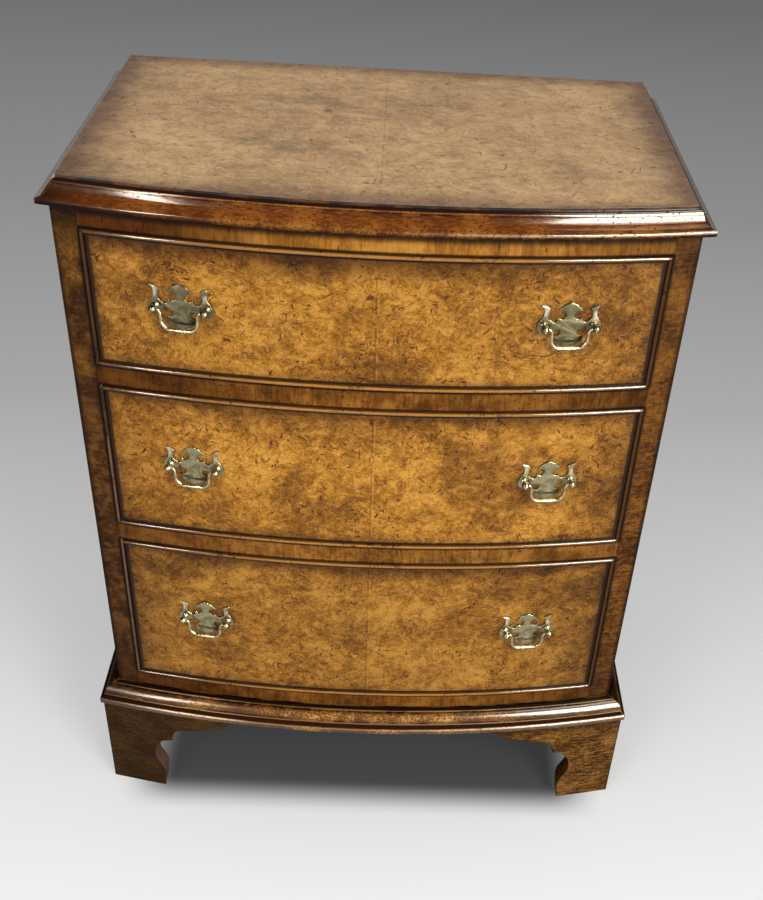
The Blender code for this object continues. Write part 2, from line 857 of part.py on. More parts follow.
def bail_mesh():
    points = [(bail_half_width * across, bail_drop * up, bulge, steps)
              for across, up, bulge, steps in bail_shares]
    right = [Vector((x, 0, z)) for x, z in arc_path(points)]
    pin = Vector((post_half - post_head_radius + eye_depth - hole_gap, 0, 0))
    right.insert(0, pin)
    left = [Vector((-point.x, 0, point.z)) for point in right[-2::-1]]
    centres = right + left
    radii = []
    for centre in centres:
        share = min(1, -centre.z / bail_drop)
        radii.append(bail_pin_radius + (bail_bar_radius - bail_pin_radius) * share)
    bm = bmesh.new()
    add_tube(bm, centres, radii, bail_sides, Vector((0, -1, 0)))
    return finish_mesh(bm, "handle_bail")


def drawers(floors, materials):
    plate = plate_mesh()
    bail = bail_mesh()
    for mesh in (plate, bail):
        mesh.materials.append(materials["brass"])
    for name, height, tails, floor in zip(drawer_names, drawer_heights, tail_counts, floors):
        slide = bpy.data.objects.new(name + "_slide", None)
        slide.location = (0, 0, floor)
        bpy.context.collection.objects.link(slide)
        drawer_front(name, height, tails, materials["burr"], slide)
        cock_bead(name, height, materials["moulding"], slide)
        drawer_linings(name, height, tails, materials["lining"], slide)
        for side, hand in ((-1, "left"), (1, "right")):
            x = side * handle_x
            backplate = add_object(name + "_handle_" + hand + "_plate", plate, parent=slide)
            backplate.location = (x, front_y(x), handle_height(height))
            backplate.rotation_euler = (0, 0, handle_turn(x))
            loop = add_object(name + "_handle_" + hand + "_bail", bail, parent=backplate)
            loop.location = (0, -post_axis_height, 0)


def clear_scene():
    for item in list(bpy.data.objects):
        bpy.data.objects.remove(item, do_unlink=True)


def main():
    clear_scene()
    materials = {
        "burr": make_material("burr_walnut", (0.38, 0.17, 0.035), 0.3),
        "veneer": make_material("walnut_veneer", (0.25, 0.11, 0.035), 0.35),
        "cross": make_material("cross_grained_walnut", (0.19, 0.08, 0.022), 0.35),
        "moulding": make_material("polished_moulding", (0.10, 0.030, 0.008), 0.25),
        "foot": make_material("dark_walnut", (0.085, 0.032, 0.010), 0.35),
        "lining": make_material("drawer_lining", (0.42, 0.25, 0.12), 0.6),
        "brass": make_material("aged_brass", (0.45, 0.38, 0.24), 0.35, 1.0),
    }
    floors, seat = carcase(materials)
    top(seat, materials)
    base(materials)
    drawers(floors, materials)


main()
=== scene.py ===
from math import asin, atan, cos, pi, radians, sin, sqrt

import bmesh
import bpy
from mathutils import Matrix, Vector


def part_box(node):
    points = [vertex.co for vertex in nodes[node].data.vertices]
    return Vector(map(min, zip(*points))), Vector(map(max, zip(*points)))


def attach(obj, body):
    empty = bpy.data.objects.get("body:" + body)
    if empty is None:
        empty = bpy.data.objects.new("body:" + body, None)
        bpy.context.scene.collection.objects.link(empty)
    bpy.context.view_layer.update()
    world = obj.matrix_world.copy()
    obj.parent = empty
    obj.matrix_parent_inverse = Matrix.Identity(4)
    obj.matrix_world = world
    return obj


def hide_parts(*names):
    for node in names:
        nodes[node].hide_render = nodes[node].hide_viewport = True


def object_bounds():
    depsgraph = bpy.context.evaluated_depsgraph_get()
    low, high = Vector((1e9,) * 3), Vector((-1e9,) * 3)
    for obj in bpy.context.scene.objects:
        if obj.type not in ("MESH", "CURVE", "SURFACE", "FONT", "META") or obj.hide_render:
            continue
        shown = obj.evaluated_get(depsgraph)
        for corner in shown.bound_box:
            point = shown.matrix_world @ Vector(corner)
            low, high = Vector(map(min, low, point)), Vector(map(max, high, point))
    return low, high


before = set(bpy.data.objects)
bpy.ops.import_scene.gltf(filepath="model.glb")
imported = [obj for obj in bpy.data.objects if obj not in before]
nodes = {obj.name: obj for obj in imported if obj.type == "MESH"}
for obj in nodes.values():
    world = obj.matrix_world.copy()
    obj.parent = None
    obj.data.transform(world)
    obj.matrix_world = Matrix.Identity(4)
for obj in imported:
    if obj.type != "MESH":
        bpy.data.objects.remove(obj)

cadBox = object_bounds()
print("frame loaded with", len(nodes), "pieces")


# Shader kit: a Val is one output of a node, and sums on it add Math nodes
class Val:
    def __init__(self, paint, socket):
        self.paint = paint
        self.socket = socket

    def also(self, name):                       # another output of the same node
        return Val(self.paint, self.socket.node.outputs[name])

    def do(self, operation, first, second=0.0):
        return self.paint.node("Math", {"operation": operation}, {0: first, 1: second})

    def __add__(self, other):
        return self.do("ADD", self, other)

    def __radd__(self, other):
        return self.do("ADD", other, self)

    def __sub__(self, other):
        return self.do("SUBTRACT", self, other)

    def __rsub__(self, other):
        return self.do("SUBTRACT", other, self)

    def __mul__(self, other):
        return self.do("MULTIPLY", self, other)

    def __rmul__(self, other):
        return self.do("MULTIPLY", other, self)

    def __truediv__(self, other):
        return self.do("DIVIDE", self, other)

    def __pow__(self, other):
        return self.do("POWER", self, other)

    def __abs__(self):
        return self.do("ABSOLUTE", self)

    def least(self, other):
        return self.do("MINIMUM", self, other)

    def most(self, other):
        return self.do("MAXIMUM", self, other)


class Paint:                                    # the node tree of a material or of the world
    def __init__(self, owner):
        owner.use_nodes = True
        self.owner = owner
        self.tree = owner.node_tree

    def node(self, kind, settings, sockets, out=0):
        made = self.tree.nodes.new("ShaderNode" + kind)
        for key, value in settings.items():
            if key == "stops":
                self.setStops(made.color_ramp, value)
            else:
                setattr(made, key, value)
        for key, value in sockets.items():
            if isinstance(value, Val):
                self.tree.links.new(value.socket, made.inputs[key])
            else:
                made.inputs[key].default_value = value
        return Val(self, made.outputs[out])

    def setStops(self, ramp, stops):
        while len(ramp.elements) < len(stops):
            ramp.elements.new(1.0)
        for element, (place, colour) in zip(ramp.elements, stops):
            element.position = place
            element.color = colour

    def place(self):                            # the piece's own coordinates
        return self.node("TexCoord", {}, {}, "Object")

    def split(self, vector):
        x = self.node("SeparateXYZ", {}, {0: vector})
        return x, x.also("Y"), x.also("Z")

    def join(self, x, y, z):
        return self.node("CombineXYZ", {}, {0: x, 1: y, 2: z})

    def stretch(self, vector, scale):
        return self.node("VectorMath", {"operation": "MULTIPLY"}, {0: vector, 1: scale})

    def shift(self, vector, amount):
        return self.node("VectorMath", {"operation": "ADD"}, {0: vector, 1: amount})

    def turn(self, vector, axis, degrees):
        return self.node("VectorRotate", {"rotation_type": "AXIS_ANGLE"},
                         {"Vector": vector, "Axis": axis, "Angle": radians(degrees)})

    def noise(self, vector, scale, detail=3.0, rough=0.55, warp=0.0):
        return self.node("TexNoise", {}, {"Vector": vector, "Scale": scale, "Detail": detail,
                                          "Roughness": rough, "Distortion": warp})

    def cells(self, vector):
        return self.node("TexVoronoi", {}, {"Vector": vector, "Scale": 1.0})

    def step(self, value, low, high):           # 0 below low, 1 above high, soft between
        return self.node("MapRange", {"interpolation_type": "SMOOTHSTEP"},
                         {0: value, 1: low, 2: high, 3: 0.0, 4: 1.0})

    def ramp(self, value, stops):
        return self.node("ValToRGB", {"stops": stops}, {0: value})

    def mix(self, share, first, second, blend="MIX"):
        return self.node("Mix", {"data_type": "RGBA", "blend_type": blend, "clamp_factor": True},
                         {0: share, 6: first, 7: second}, 2)

    def warped(self, vector, scale, amount, detail=2.0):
        drift = self.node("TexNoise", {}, {"Vector": vector, "Scale": scale, "Detail": detail}, 1)
        drift = self.shift(drift, (-0.5, -0.5, -0.5))
        drift = self.node("VectorMath", {"operation": "SCALE"}, {0: drift, "Scale": amount})
        return self.shift(vector, drift)

    def bump(self, height, depth, rounding=0.0):
        sockets = {"Strength": 1.0, "Distance": depth, "Height": height}
        if rounding:                            # edges shade as if eased by this radius
            sockets["Normal"] = self.rounded(rounding)
        return self.node("Bump", {}, sockets)

    def rounded(self, radius):
        return self.node("Bevel", {"samples": 6}, {"Radius": radius})

    def straight(self):                         # the normal before any bump
        return self.node("NewGeometry", {}, {}, "Normal")

    def sideways(self):                         # 1 where a face looks left or right
        return abs(self.split(self.straight())[0])

    def edges(self, radius, soft=0.12):         # 1 on hard edges, 0 on the flats
        facing = self.node("VectorMath", {"operation": "DOT_PRODUCT"},
                           {0: self.rounded(radius), 1: self.straight()}, "Value")
        return 1 - self.step(facing, 1 - soft, 1 - soft * 0.1)

    def finish(self, shader, **values):
        for key, value in values.items():
            socket = self.tree.nodes[shader].inputs[key.replace("_", " ")]
            if isinstance(value, Val):
                self.tree.links.new(value.socket, socket)
            else:
                socket.default_value = value
        return self.owner


def newPaint(name):
    return Paint(bpy.data.materials.new(name))


def newObject(name, data):
    made = bpy.data.objects.new(name, data)
    bpy.context.scene.collection.objects.link(made)
    return made


def tone(red, green, blue):                     # screen values, 0 to 255, as a shader colour
    def flat(value):
        value = value / 255
        return value / 12.92 if value <= 0.04045 else ((value + 0.055) / 1.055) ** 2.4
    return flat(red), flat(green), flat(blue), 1.0


def grey(value):
    return value, value, value, 1.0


def tones(*stops):                              # ramps: a place, then its screen colour or grey
    return [(place, tone(*colour)) for place, *colour in stops]


def greys(*stops):
    return [(place, grey(value)) for place, value in stops]


def dress(material, *names):
    for name in names:
        slots = nodes[name].data.materials
        slots.clear()
        slots.append(material)


drawers = ("bottom", "middle", "top")
carcaseHalf = 0.284
drawerHalf = 0.2605
beadWidth = 0.004
carcaseDepth = 0.342                            # at the sides, where the bow ends
bowRise = 0.0305
bowRadius = (carcaseHalf ** 2 + bowRise ** 2) / (2 * bowRise)


def behindBow(x, y, frontMiddle):               # how far a point lies behind a bowed face
    return y - (frontMiddle + bowRadius) + (bowRadius ** 2 - x * x) ** 0.5


# Burr walnut: clouds, curly figure, pips, strokes and a few long scratches
def burrVeneer(name, look, middle, half, flat):
    p = newPaint(name)
    x, y, z = p.split(p.place())
    up = y if flat else z
    plane = p.join(x, up, look["leaf"])
    curled = p.warped(plane, look["curlSize"], look["curl"])
    curled = p.warped(curled, look["curlSize"] * 3.3, look["curl"] * 0.3)
    clouds = p.noise(curled, look["cloudSize"], 3.0)
    patches = p.noise(curled, look["patchSize"], 4.0, 0.62)
    figure = p.noise(p.stretch(curled, look["figureStretch"]), look["figureSize"], 4.0, 0.65, 0.8)
    grain = p.noise(p.stretch(curled, look["figureStretch"]), look["figureSize"] * 4.5, 3.0, 0.6)
    vein = 1 - p.step(abs(p.noise(curled, look["veinSize"], 2.5, 0.55, 0.6) - 0.5), 0.0, 0.045)
    shade = clouds * 0.32 + patches * 0.30 + figure * 0.42 + grain * 0.34 - 0.17 - vein * 0.05
    shade = p.step(shade, look["low"], look["high"])
    colour = p.ramp(shade, [(0.0, look["dark"]), (0.30, look["brown"]),
                            (0.62, look["gold"]), (1.0, look["light"])])

    # smoky stains, and on the drawer fronts the painted shadow and dirt round the handles: place
    # and reach in shares of the half sizes, then strength
    for atX, atUp, reachX, reachUp, strength in look["stains"]:
        awayX = (x - middle[0] - atX * half[0]) / (reachX * half[0])
        awayUp = (up - middle[1] - atUp * half[1]) / (reachUp * half[1])
        away = (awayX * awayX + awayUp * awayUp) ** 0.5 + (patches - 0.5) * 2.2
        colour = p.mix((1 - p.step(away, 0.35, 1.15)) * strength, colour, look["stainTint"],
                       "MULTIPLY")

    # pips and short strokes in loose clusters
    cluster = p.step(p.noise(p.shift(plane, (9.1, 4.2, 0.0)), 26.0, 2.0), 0.44, 0.60)
    bent = p.warped(plane, 110.0, 0.005, 1.0)
    pips = None
    for turn, sizes, reach in look["pips"]:
        spot = p.cells(p.stretch(p.turn(bent, (0.0, 0.0, 1.0), turn), sizes))
        chance = p.split(spot.also("Color"))[0]
        spotSize = reach * chance * (0.34 + cluster * 0.86)
        ink = (1 - p.step(spot / spotSize.most(0.001), 0.65, 1.0)) \
            * p.step(chance, look["pipChance"], look["pipChance"] + 0.1)
        pips = ink if pips is None else pips.most(ink)
    colour = p.mix(pips * look["pipInk"], colour, look["pipColour"])

    # curls and long curved scratches
    scratch = None
    for shiftBy, size, patch, few in look["curls"]:
        field = p.noise(p.shift(plane, (shiftBy, 2.2, shiftBy)), size, 1.5, 0.4, 0.5)
        line = 1 - p.step(abs(field - 0.5), 0.0010 * size / 10, 0.0026 * size / 10)
        line = line * p.step(p.noise(p.shift(plane, (2.0, shiftBy, 1.0)), patch, 1.0),
                             few, few + 0.05)
        scratch = line if scratch is None else scratch.most(line)
    colour = p.mix(scratch * look["scratch"], colour, look["pipColour"])

    # joints between the leaves of veneer
    worn = p.step(p.noise(plane, 60.0, 2.0), 0.36, 0.6)
    seam = 1 - p.step(abs(x), 0.0003, 0.0012)
    quarter = 1 - p.step(abs(abs(x) - look["leafWidth"]), 0.0002, 0.0010)
    proudEdge = 1 - p.step(abs(x - 0.0021), 0.0003, 0.0012)
    colour = p.mix((seam * 0.6 + quarter * 0.34) * worn * look["seams"], colour,
                   look["seamColour"])
    colour = p.mix(proudEdge * worn * 0.4 * look["seams"], colour, look["light"])

    # darker rim: soft, broader at the ends (partly painted shade) and along the top (painted
    # shade below the rail, with stain), and a fine painted shadow line by the bead
    rimX = half[0] - abs(x)
    rimUp = half[1] - abs(up - middle[1])
    if flat:
        rimUp = rimUp.least(behindBow(x, y, middle[1] - half[1]) * look["frontRim"])
    rim = rimX.least(rimUp)
    wander = p.noise(plane, 36.0, 4.0, 0.6) - 0.5
    soft = 1 - p.step(rim + wander * look["rimWander"], 0.0, look["rimWidth"])
    crown = half[1] - up + middle[1] + wander * look["rimWander"]
    crown = 1 - p.step(crown, 0.004, look["crownWidth"])
    crown = crown * (1 - p.step(x, 0.03, 0.14) * look["crownFade"])
    ends = 1 - p.step(rimX + wander * look["endWidth"] * 0.8, 0.0, look["endWidth"])
    line = 1 - p.step(rimX.least(rimUp * 1.7), look["lineWidth"] * 0.5, look["lineWidth"])
    colour = p.mix(soft * look["rim"], colour, look["rimTint"], "MULTIPLY")
    colour = p.mix((ends * look["ends"]).most(crown * look["crown"]), colour, look["rimTint"],
                   "MULTIPLY")
    colour = p.mix(line * look["line"], colour, look["lineColour"])
    # painted light: each front lighter or darker as a whole
    colour = p.mix(1.0, colour, grey(look["depth"]), "MULTIPLY")

    relief = figure * 0.3 - pips * 0.7 - scratch * 0.8 - seam * 0.4 + patches * 0.4
    rough = look["rough"] + (figure - 0.5) * 0.12 + pips * 0.15
    return p.finish("Principled BSDF", Base_Color=colour, Roughness=rough,
                    Coat_Weight=look["coat"], Coat_Roughness=look["coatRough"],
                    Specular_IOR_Level=look["gloss"], Normal=p.bump(relief, look["bump"]))


burrLook = {
    "dark": tone(106, 66, 18), "brown": tone(142, 93, 28),
    "gold": tone(168, 114, 37), "light": tone(199, 144, 62),
    "low": 0.375, "high": 0.650,
    "cloudSize": 9.0, "patchSize": 32.0, "figureSize": 115.0, "figureStretch": (1.0, 1.3, 1.0),
    "curlSize": 17.0, "curl": 0.022, "veinSize": 62.0,
    "stains": (), "stainTint": (0.42, 0.36, 0.34, 1.0),
    "pips": ((0, (84, 330, 1), 0.30), (38, (60, 370, 1), 0.29), (-52, (62, 350, 1), 0.28),
             (80, (90, 360, 1), 0.29), (15, (230, 280, 1), 0.30)),
    "pipChance": 0.80, "pipInk": 0.92, "pipColour": tone(74, 24, 7),
    "curls": ((0.0, 8.0, 31.0, 0.60), (5.5, 13.0, 31.0, 0.60), (12.5, 42.0, 80.0, 0.60),
              (17.5, 66.0, 95.0, 0.61)),
    "scratch": 0.8, "leafWidth": 0.111, "seams": 1.0, "seamColour": tone(84, 44, 14),
    "rimWidth": 0.014, "rimWander": 0.018, "rim": 0.62, "endWidth": 0.085, "ends": 0.50,
    "crownWidth": 0.026, "crown": 0.80, "crownFade": 0.0,
    "rimTint": (0.36, 0.29, 0.24, 1.0), "lineWidth": 0.0056, "line": 0.92,
    "lineColour": tone(26, 10, 5), "depth": 1.0,
    "handleInset": 0.084, "handleDirt": (0.040, 0.034, 0.52),
    "rough": 0.34, "coat": 0.14, "coatRough": 0.14, "gloss": 0.06, "bump": 0.0003,
}
frontLooks = {
    "bottom": {
        "leaf": 1.7, "depth": 0.88, "ends": 0.74,
        "stains": ((-0.72, 0.76, 0.26, 0.26, 0.60), (-0.10, 0.02, 0.22, 0.36, 0.32),
                   (0.74, 0.60, 0.26, 0.40, 0.45), (0.15, -0.72, 0.40, 0.22, 0.30)),
    },
    "middle": {
        "leaf": 4.0, "depth": 1.09, "ends": 0.60,
        "stains": ((-0.42, 0.78, 0.30, 0.26, 0.40), (0.48, 0.10, 0.32, 0.80, 0.55),
                   (-0.05, 0.70, 0.30, 0.22, 0.35), (0.86, -0.10, 0.16, 0.60, 0.45)),
    },
    "top": {
        "leaf": 6.3, "depth": 0.98, "ends": 0.40,
        "crown": 1.0, "crownWidth": 0.032, "crownFade": 0.55,
        "stains": ((-0.27, 0.86, 0.17, 0.34, 0.75), (-0.86, 0.10, 0.10, 0.50, 0.25),
                   (0.90, 0.66, 0.10, 0.28, 0.20), (0.02, -0.70, 0.25, 0.30, 0.22)),
    },
}
for name in drawers:
    low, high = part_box(name + "_drawer_front")
    look = dict(burrLook, **frontLooks[name])
    middle = ((low.x + high.x) / 2, (low.z + high.z) / 2)
    half = ((high.x - low.x) / 2 - beadWidth, (high.z - low.z) / 2 - beadWidth)
    handleShare = 1 - look["handleInset"] / half[0]
    reachX, reachUp, strength = look["handleDirt"]
    for side in (-1, 1):                        # painted shadow and dirt round each handle, below and to its left
        look["stains"] += ((side * handleShare - 0.02, -0.03,
                            reachX / half[0], reachUp / half[1], strength),)
    dress(burrVeneer("burrWalnut_" + name, look, middle, half, False), name + "_drawer_front")

# The chest's top: faded burr, its tones raised with a painted grey sheen of reflected haze
topLook = dict(burrLook, leaf=11.0)
topLook.update({
    "dark": tone(134, 104, 72), "brown": tone(151, 119, 82),
    "gold": tone(162, 130, 89), "light": tone(178, 146, 104),
    "cloudSize": 7.0, "patchSize": 26.0, "figureSize": 85.0, "figureStretch": (0.75, 1.15, 1.0),
    "stains": ((-0.36, -0.30, 0.17, 0.13, 0.55), (-0.30, 0.36, 0.24, 0.10, 0.38),
               (0.62, -0.55, 0.20, 0.16, 0.25), (-0.92, -0.72, 0.14, 0.22, 0.40),
               (-0.45, -0.84, 0.45, 0.12, 0.22)),
    "stainTint": (0.50, 0.56, 0.56, 1.0),
    "pipChance": 0.88, "pipInk": 0.40, "pipColour": tone(96, 62, 38), "scratch": 0.75,
    "rimWidth": 0.038, "rimWander": 0.010, "rim": 1.0, "endWidth": 0.08, "ends": 0.45,
    "crown": 0.0,
    "rimTint": (0.46, 0.42, 0.47, 1.0), "leafWidth": 0.35, "seams": 0.5, "line": 0.0,
    "frontRim": 4.0, "coat": 0.35, "coatRough": 0.12, "gloss": 0.35,
})
low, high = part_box("top_veneer")
dress(burrVeneer("burrWalnut_chestTop", topLook, ((low.x + high.x) / 2, (low.y + high.y) / 2),
                 ((high.x - low.x) / 2, (high.y - low.y) / 2), True), "top_veneer")
print("burr veneers laid")


# Straight walnut, laid lengthwise or across; grain is the (x, y, z) stretch of its streaks
def plainWood(name, look, edge=None):
    p = newPaint(name)
    where = p.place()
    x, y, z = p.split(where)
    drift = p.warped(where, look["warpSize"], look["warp"])
    streaks = p.noise(p.stretch(drift, look["grain"]), 1.0, 4.0, 0.62)
    fine = p.noise(p.stretch(drift, tuple(v * 3.3 for v in look["grain"])), 1.0, 3.0, 0.7)
    clouds = p.noise(where, look["cloudSize"], 3.0)
    patches = p.noise(drift, look["patchSize"], 4.0, 0.65)
    shade = streaks * look["streaks"] + fine * 0.22 + clouds * 0.30 + patches * look["patches"]
    middle = (look["streaks"] + 0.52 + look["patches"]) / 2
    shade = p.step(shade, middle - 0.12, middle + 0.12)
    colour = p.ramp(shade, [(0.0, look["dark"]), (0.45, look["brown"]), (1.0, look["light"])])
    flecks = p.cells(p.stretch(drift, look["fleck"]))
    chance = p.split(flecks.also("Color"))[0]
    ink = (1 - p.step(flecks / (0.42 * chance).most(0.001), 0.6, 1.0)) \
        * p.step(chance, look["fleckChance"], look["fleckChance"] + 0.1)
    colour = p.mix(ink * look["fleckInk"], colour, look["fleckColour"])
    if edge:
        colour = edge(p, colour, (x, y, z), clouds, look)
    relief = streaks * 0.3 - ink * 0.7 + fine * 0.2
    return p.finish("Principled BSDF", Base_Color=colour,
                    Roughness=look["rough"] + (fine - 0.5) * 0.1,
                    Coat_Weight=look["coat"], Coat_Roughness=0.16,
                    Specular_IOR_Level=look["gloss"], Normal=p.bump(relief, look["bump"]))


frameLook = {
    "dark": tone(80, 45, 13), "brown": tone(118, 73, 24), "light": tone(154, 102, 40),
    "grain": (190.0, 190.0, 22.0), "streaks": 0.20, "patches": 0.40, "patchSize": 60.0,
    "cloudSize": 14.0, "warpSize": 14.0, "warp": 0.006,
    "fleck": (210.0, 210.0, 330.0), "fleckChance": 0.62, "fleckColour": tone(54, 24, 9),
    "grime": tone(52, 28, 12), "line": tone(24, 10, 5), "middle": 0.03, "shade": 0.0032,
    "shadeTint": (0.36, 0.29, 0.27, 1.0), "fleckInk": 0.65, "ends": 0.56, "leftEnd": 0.30,
    "rough": 0.38, "coat": 0.04, "gloss": 0.03, "bump": 0.0003,
}
friezeLook = dict(frameLook)
friezeLook.update({
    "dark": tone(124, 78, 24), "brown": tone(164, 108, 38), "light": tone(196, 138, 58),
    "middle": 0.05, "streaks": 0.26, "patches": 0.34, "fleck": (380.0, 380.0, 120.0),
    "fleckChance": 0.86, "shade": 0.0115, "ends": 0.80, "shadeTint": (0.20, 0.13, 0.12, 1.0),
})
palerRail = dict(frameLook, dark=tone(94, 56, 20), brown=tone(136, 88, 34),
                 light=tone(172, 118, 52))
darkerRail = dict(frameLook, ends=0.90)
railLooks = {"bottom_rail": darkerRail, "drawer_rail_lower": palerRail,
             "drawer_rail_upper": darkerRail, "frieze_rail": friezeLook}
leftStileLook = dict(frameLook)
leftStileLook.update({
    "grain": (45.0, 45.0, 320.0), "fleck": (330.0, 330.0, 120.0),
    "dark": tone(40, 20, 8), "brown": tone(66, 39, 16), "light": tone(102, 66, 28),
    "patchSize": 110.0, "cloudSize": 30.0, "upper": 0.50, "gold": tone(150, 98, 34),
    "crown": 0.75, "foot": 0.85, "spots": 0.55,
    "crownAt": (0.672, 0.722), "upperAt": (0.46, 0.64), "footAt": (0.13, 0.27),
})
rightStileLook = dict(leftStileLook)
rightStileLook.update({
    "dark": tone(54, 27, 8), "brown": tone(88, 51, 17), "light": tone(126, 82, 32),
    "patches": 0.40, "patchSize": 230.0, "cloudSize": 22.0, "streaks": 0.34, "fleckChance": 0.30,
    "fleck": (260.0, 260.0, 330.0), "upper": 0.34, "crown": 0.3, "foot": 0.5, "spots": 0.30,
})
sideLook = dict(frameLook)
sideLook.update({
    "grain": (30.0, 95.0, 5.0), "fleck": (300.0, 300.0, 40.0), "fleckChance": 0.75,
    "dark": tone(76, 42, 17), "brown": tone(120, 74, 31), "light": tone(160, 106, 50),
    "warpSize": 4.0, "warp": 0.03, "cloudSize": 6.0, "patches": 0.2, "streaks": 0.45,
})
footLook = dict(frameLook)
footLook.update({
    "grain": (70.0, 70.0, 900.0), "fleck": (150.0, 150.0, 560.0), "fleckChance": 0.35,
    "dark": tone(38, 20, 6), "brown": tone(86, 54, 20), "light": tone(158, 112, 52),
    "patchSize": 260.0, "cloudSize": 24.0, "streaks": 0.46, "patches": 0.24,
    "grime": tone(40, 26, 13), "crownAt": (0.108, 0.1275),
    "scroll": tone(116, 88, 74), "scrollWithin": (0.285, 0.289),
    "rough": 0.42, "bump": 0.0005, "coat": 0.02, "gloss": 0.02,
})
bareLook = dict(frameLook)
bareLook.update({
    "grain": (9.0, 9.0, 120.0), "fleck": (40.0, 40.0, 500.0), "fleckChance": 0.85,
    "streaks": 0.5, "patches": 0.1,
    "dark": tone(138, 98, 58), "brown": tone(172, 130, 84), "light": tone(200, 160, 112),
    "fleckColour": tone(120, 84, 48), "rough": 0.62, "coat": 0.0, "gloss": 0.3,
})


def railEdges(low, high):
    def shadeOff(p, colour, place, clouds, look):
        x, y, z = place
        ends = p.step(abs(x - look["middle"]) + (clouds - 0.5) * 0.16, 0.05, 0.27)
        left = p.step(0 - x + (clouds - 0.5) * 0.1, 0.08, 0.26)
        colour = p.mix(ends * look["ends"] + left * look["leftEnd"], colour, look["shadeTint"],
                       "MULTIPLY")
        # painted shadow: dark lines along the edges by the beads, and below the lip
        rim = 1 - p.step((z - low).least(high - z), 0.0006, 0.0021)
        under = 1 - p.step(high - z, look["shade"] * 0.4, look["shade"])
        return p.mix((rim * 0.85).most(under * 0.85), colour, look["line"])
    return shadeOff


def stileEdges(p, colour, place, clouds, look):
    x, y, z = place
    inner = 1 - p.step(abs(x) - drawerHalf, 0.0008, 0.0040)
    outer = 1 - p.step(carcaseHalf - abs(x), 0.0010, 0.0060)
    outer = outer * (1 - p.step(p.sideways(), 0.5, 0.7))
    for name in railLooks:                      # the line fades where a rail meets the stile
        low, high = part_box(name)
        beside = p.step(z, low.z - 0.001, low.z) * (1 - p.step(z, high.z, high.z + 0.001))
        inner = inner * (1 - beside * 0.8)
    crown = p.step(z + (clouds - 0.5) * 0.04, *look["crownAt"])
    upper = p.step(z, *look["upperAt"])
    foot = 1 - p.step(z, *look["footAt"])
    colour = p.mix(upper * p.step(clouds, 0.38, 0.62) * look["upper"], colour, look["gold"])
    spots = p.noise(p.stretch(p.join(x, y, z), (1.0, 1.0, 0.8)), 380.0, 3.0, 0.7)
    spots = (1 - p.step(spots, 0.42, 0.54)) * upper
    colour = p.mix(spots * look["spots"], colour, look["grime"])
    # darker towards the bottom
    colour = p.mix(foot * look["foot"], colour, look["grime"])
    # painted shade: dark lines beside the beads and at the top below the moulding, and a dark
    # line along the outer edge
    lines = (inner * 0.85).most(outer * 0.8).most(crown * look["crown"])
    return p.mix(lines, colour, look["line"])


for name, look in railLooks.items():
    low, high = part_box(name)
    dress(plainWood("crossWalnut_" + name, look, railEdges(low.z, high.z)), name)
dress(plainWood("crossWalnut_stileLeft", leftStileLook, stileEdges), "stile_left")
dress(plainWood("crossWalnut_stileRight", rightStileLook, stileEdges), "stile_right")
dress(plainWood("walnutSides", sideLook), "side_panel_left", "side_panel_right")
print("rails, stiles and sides polished")
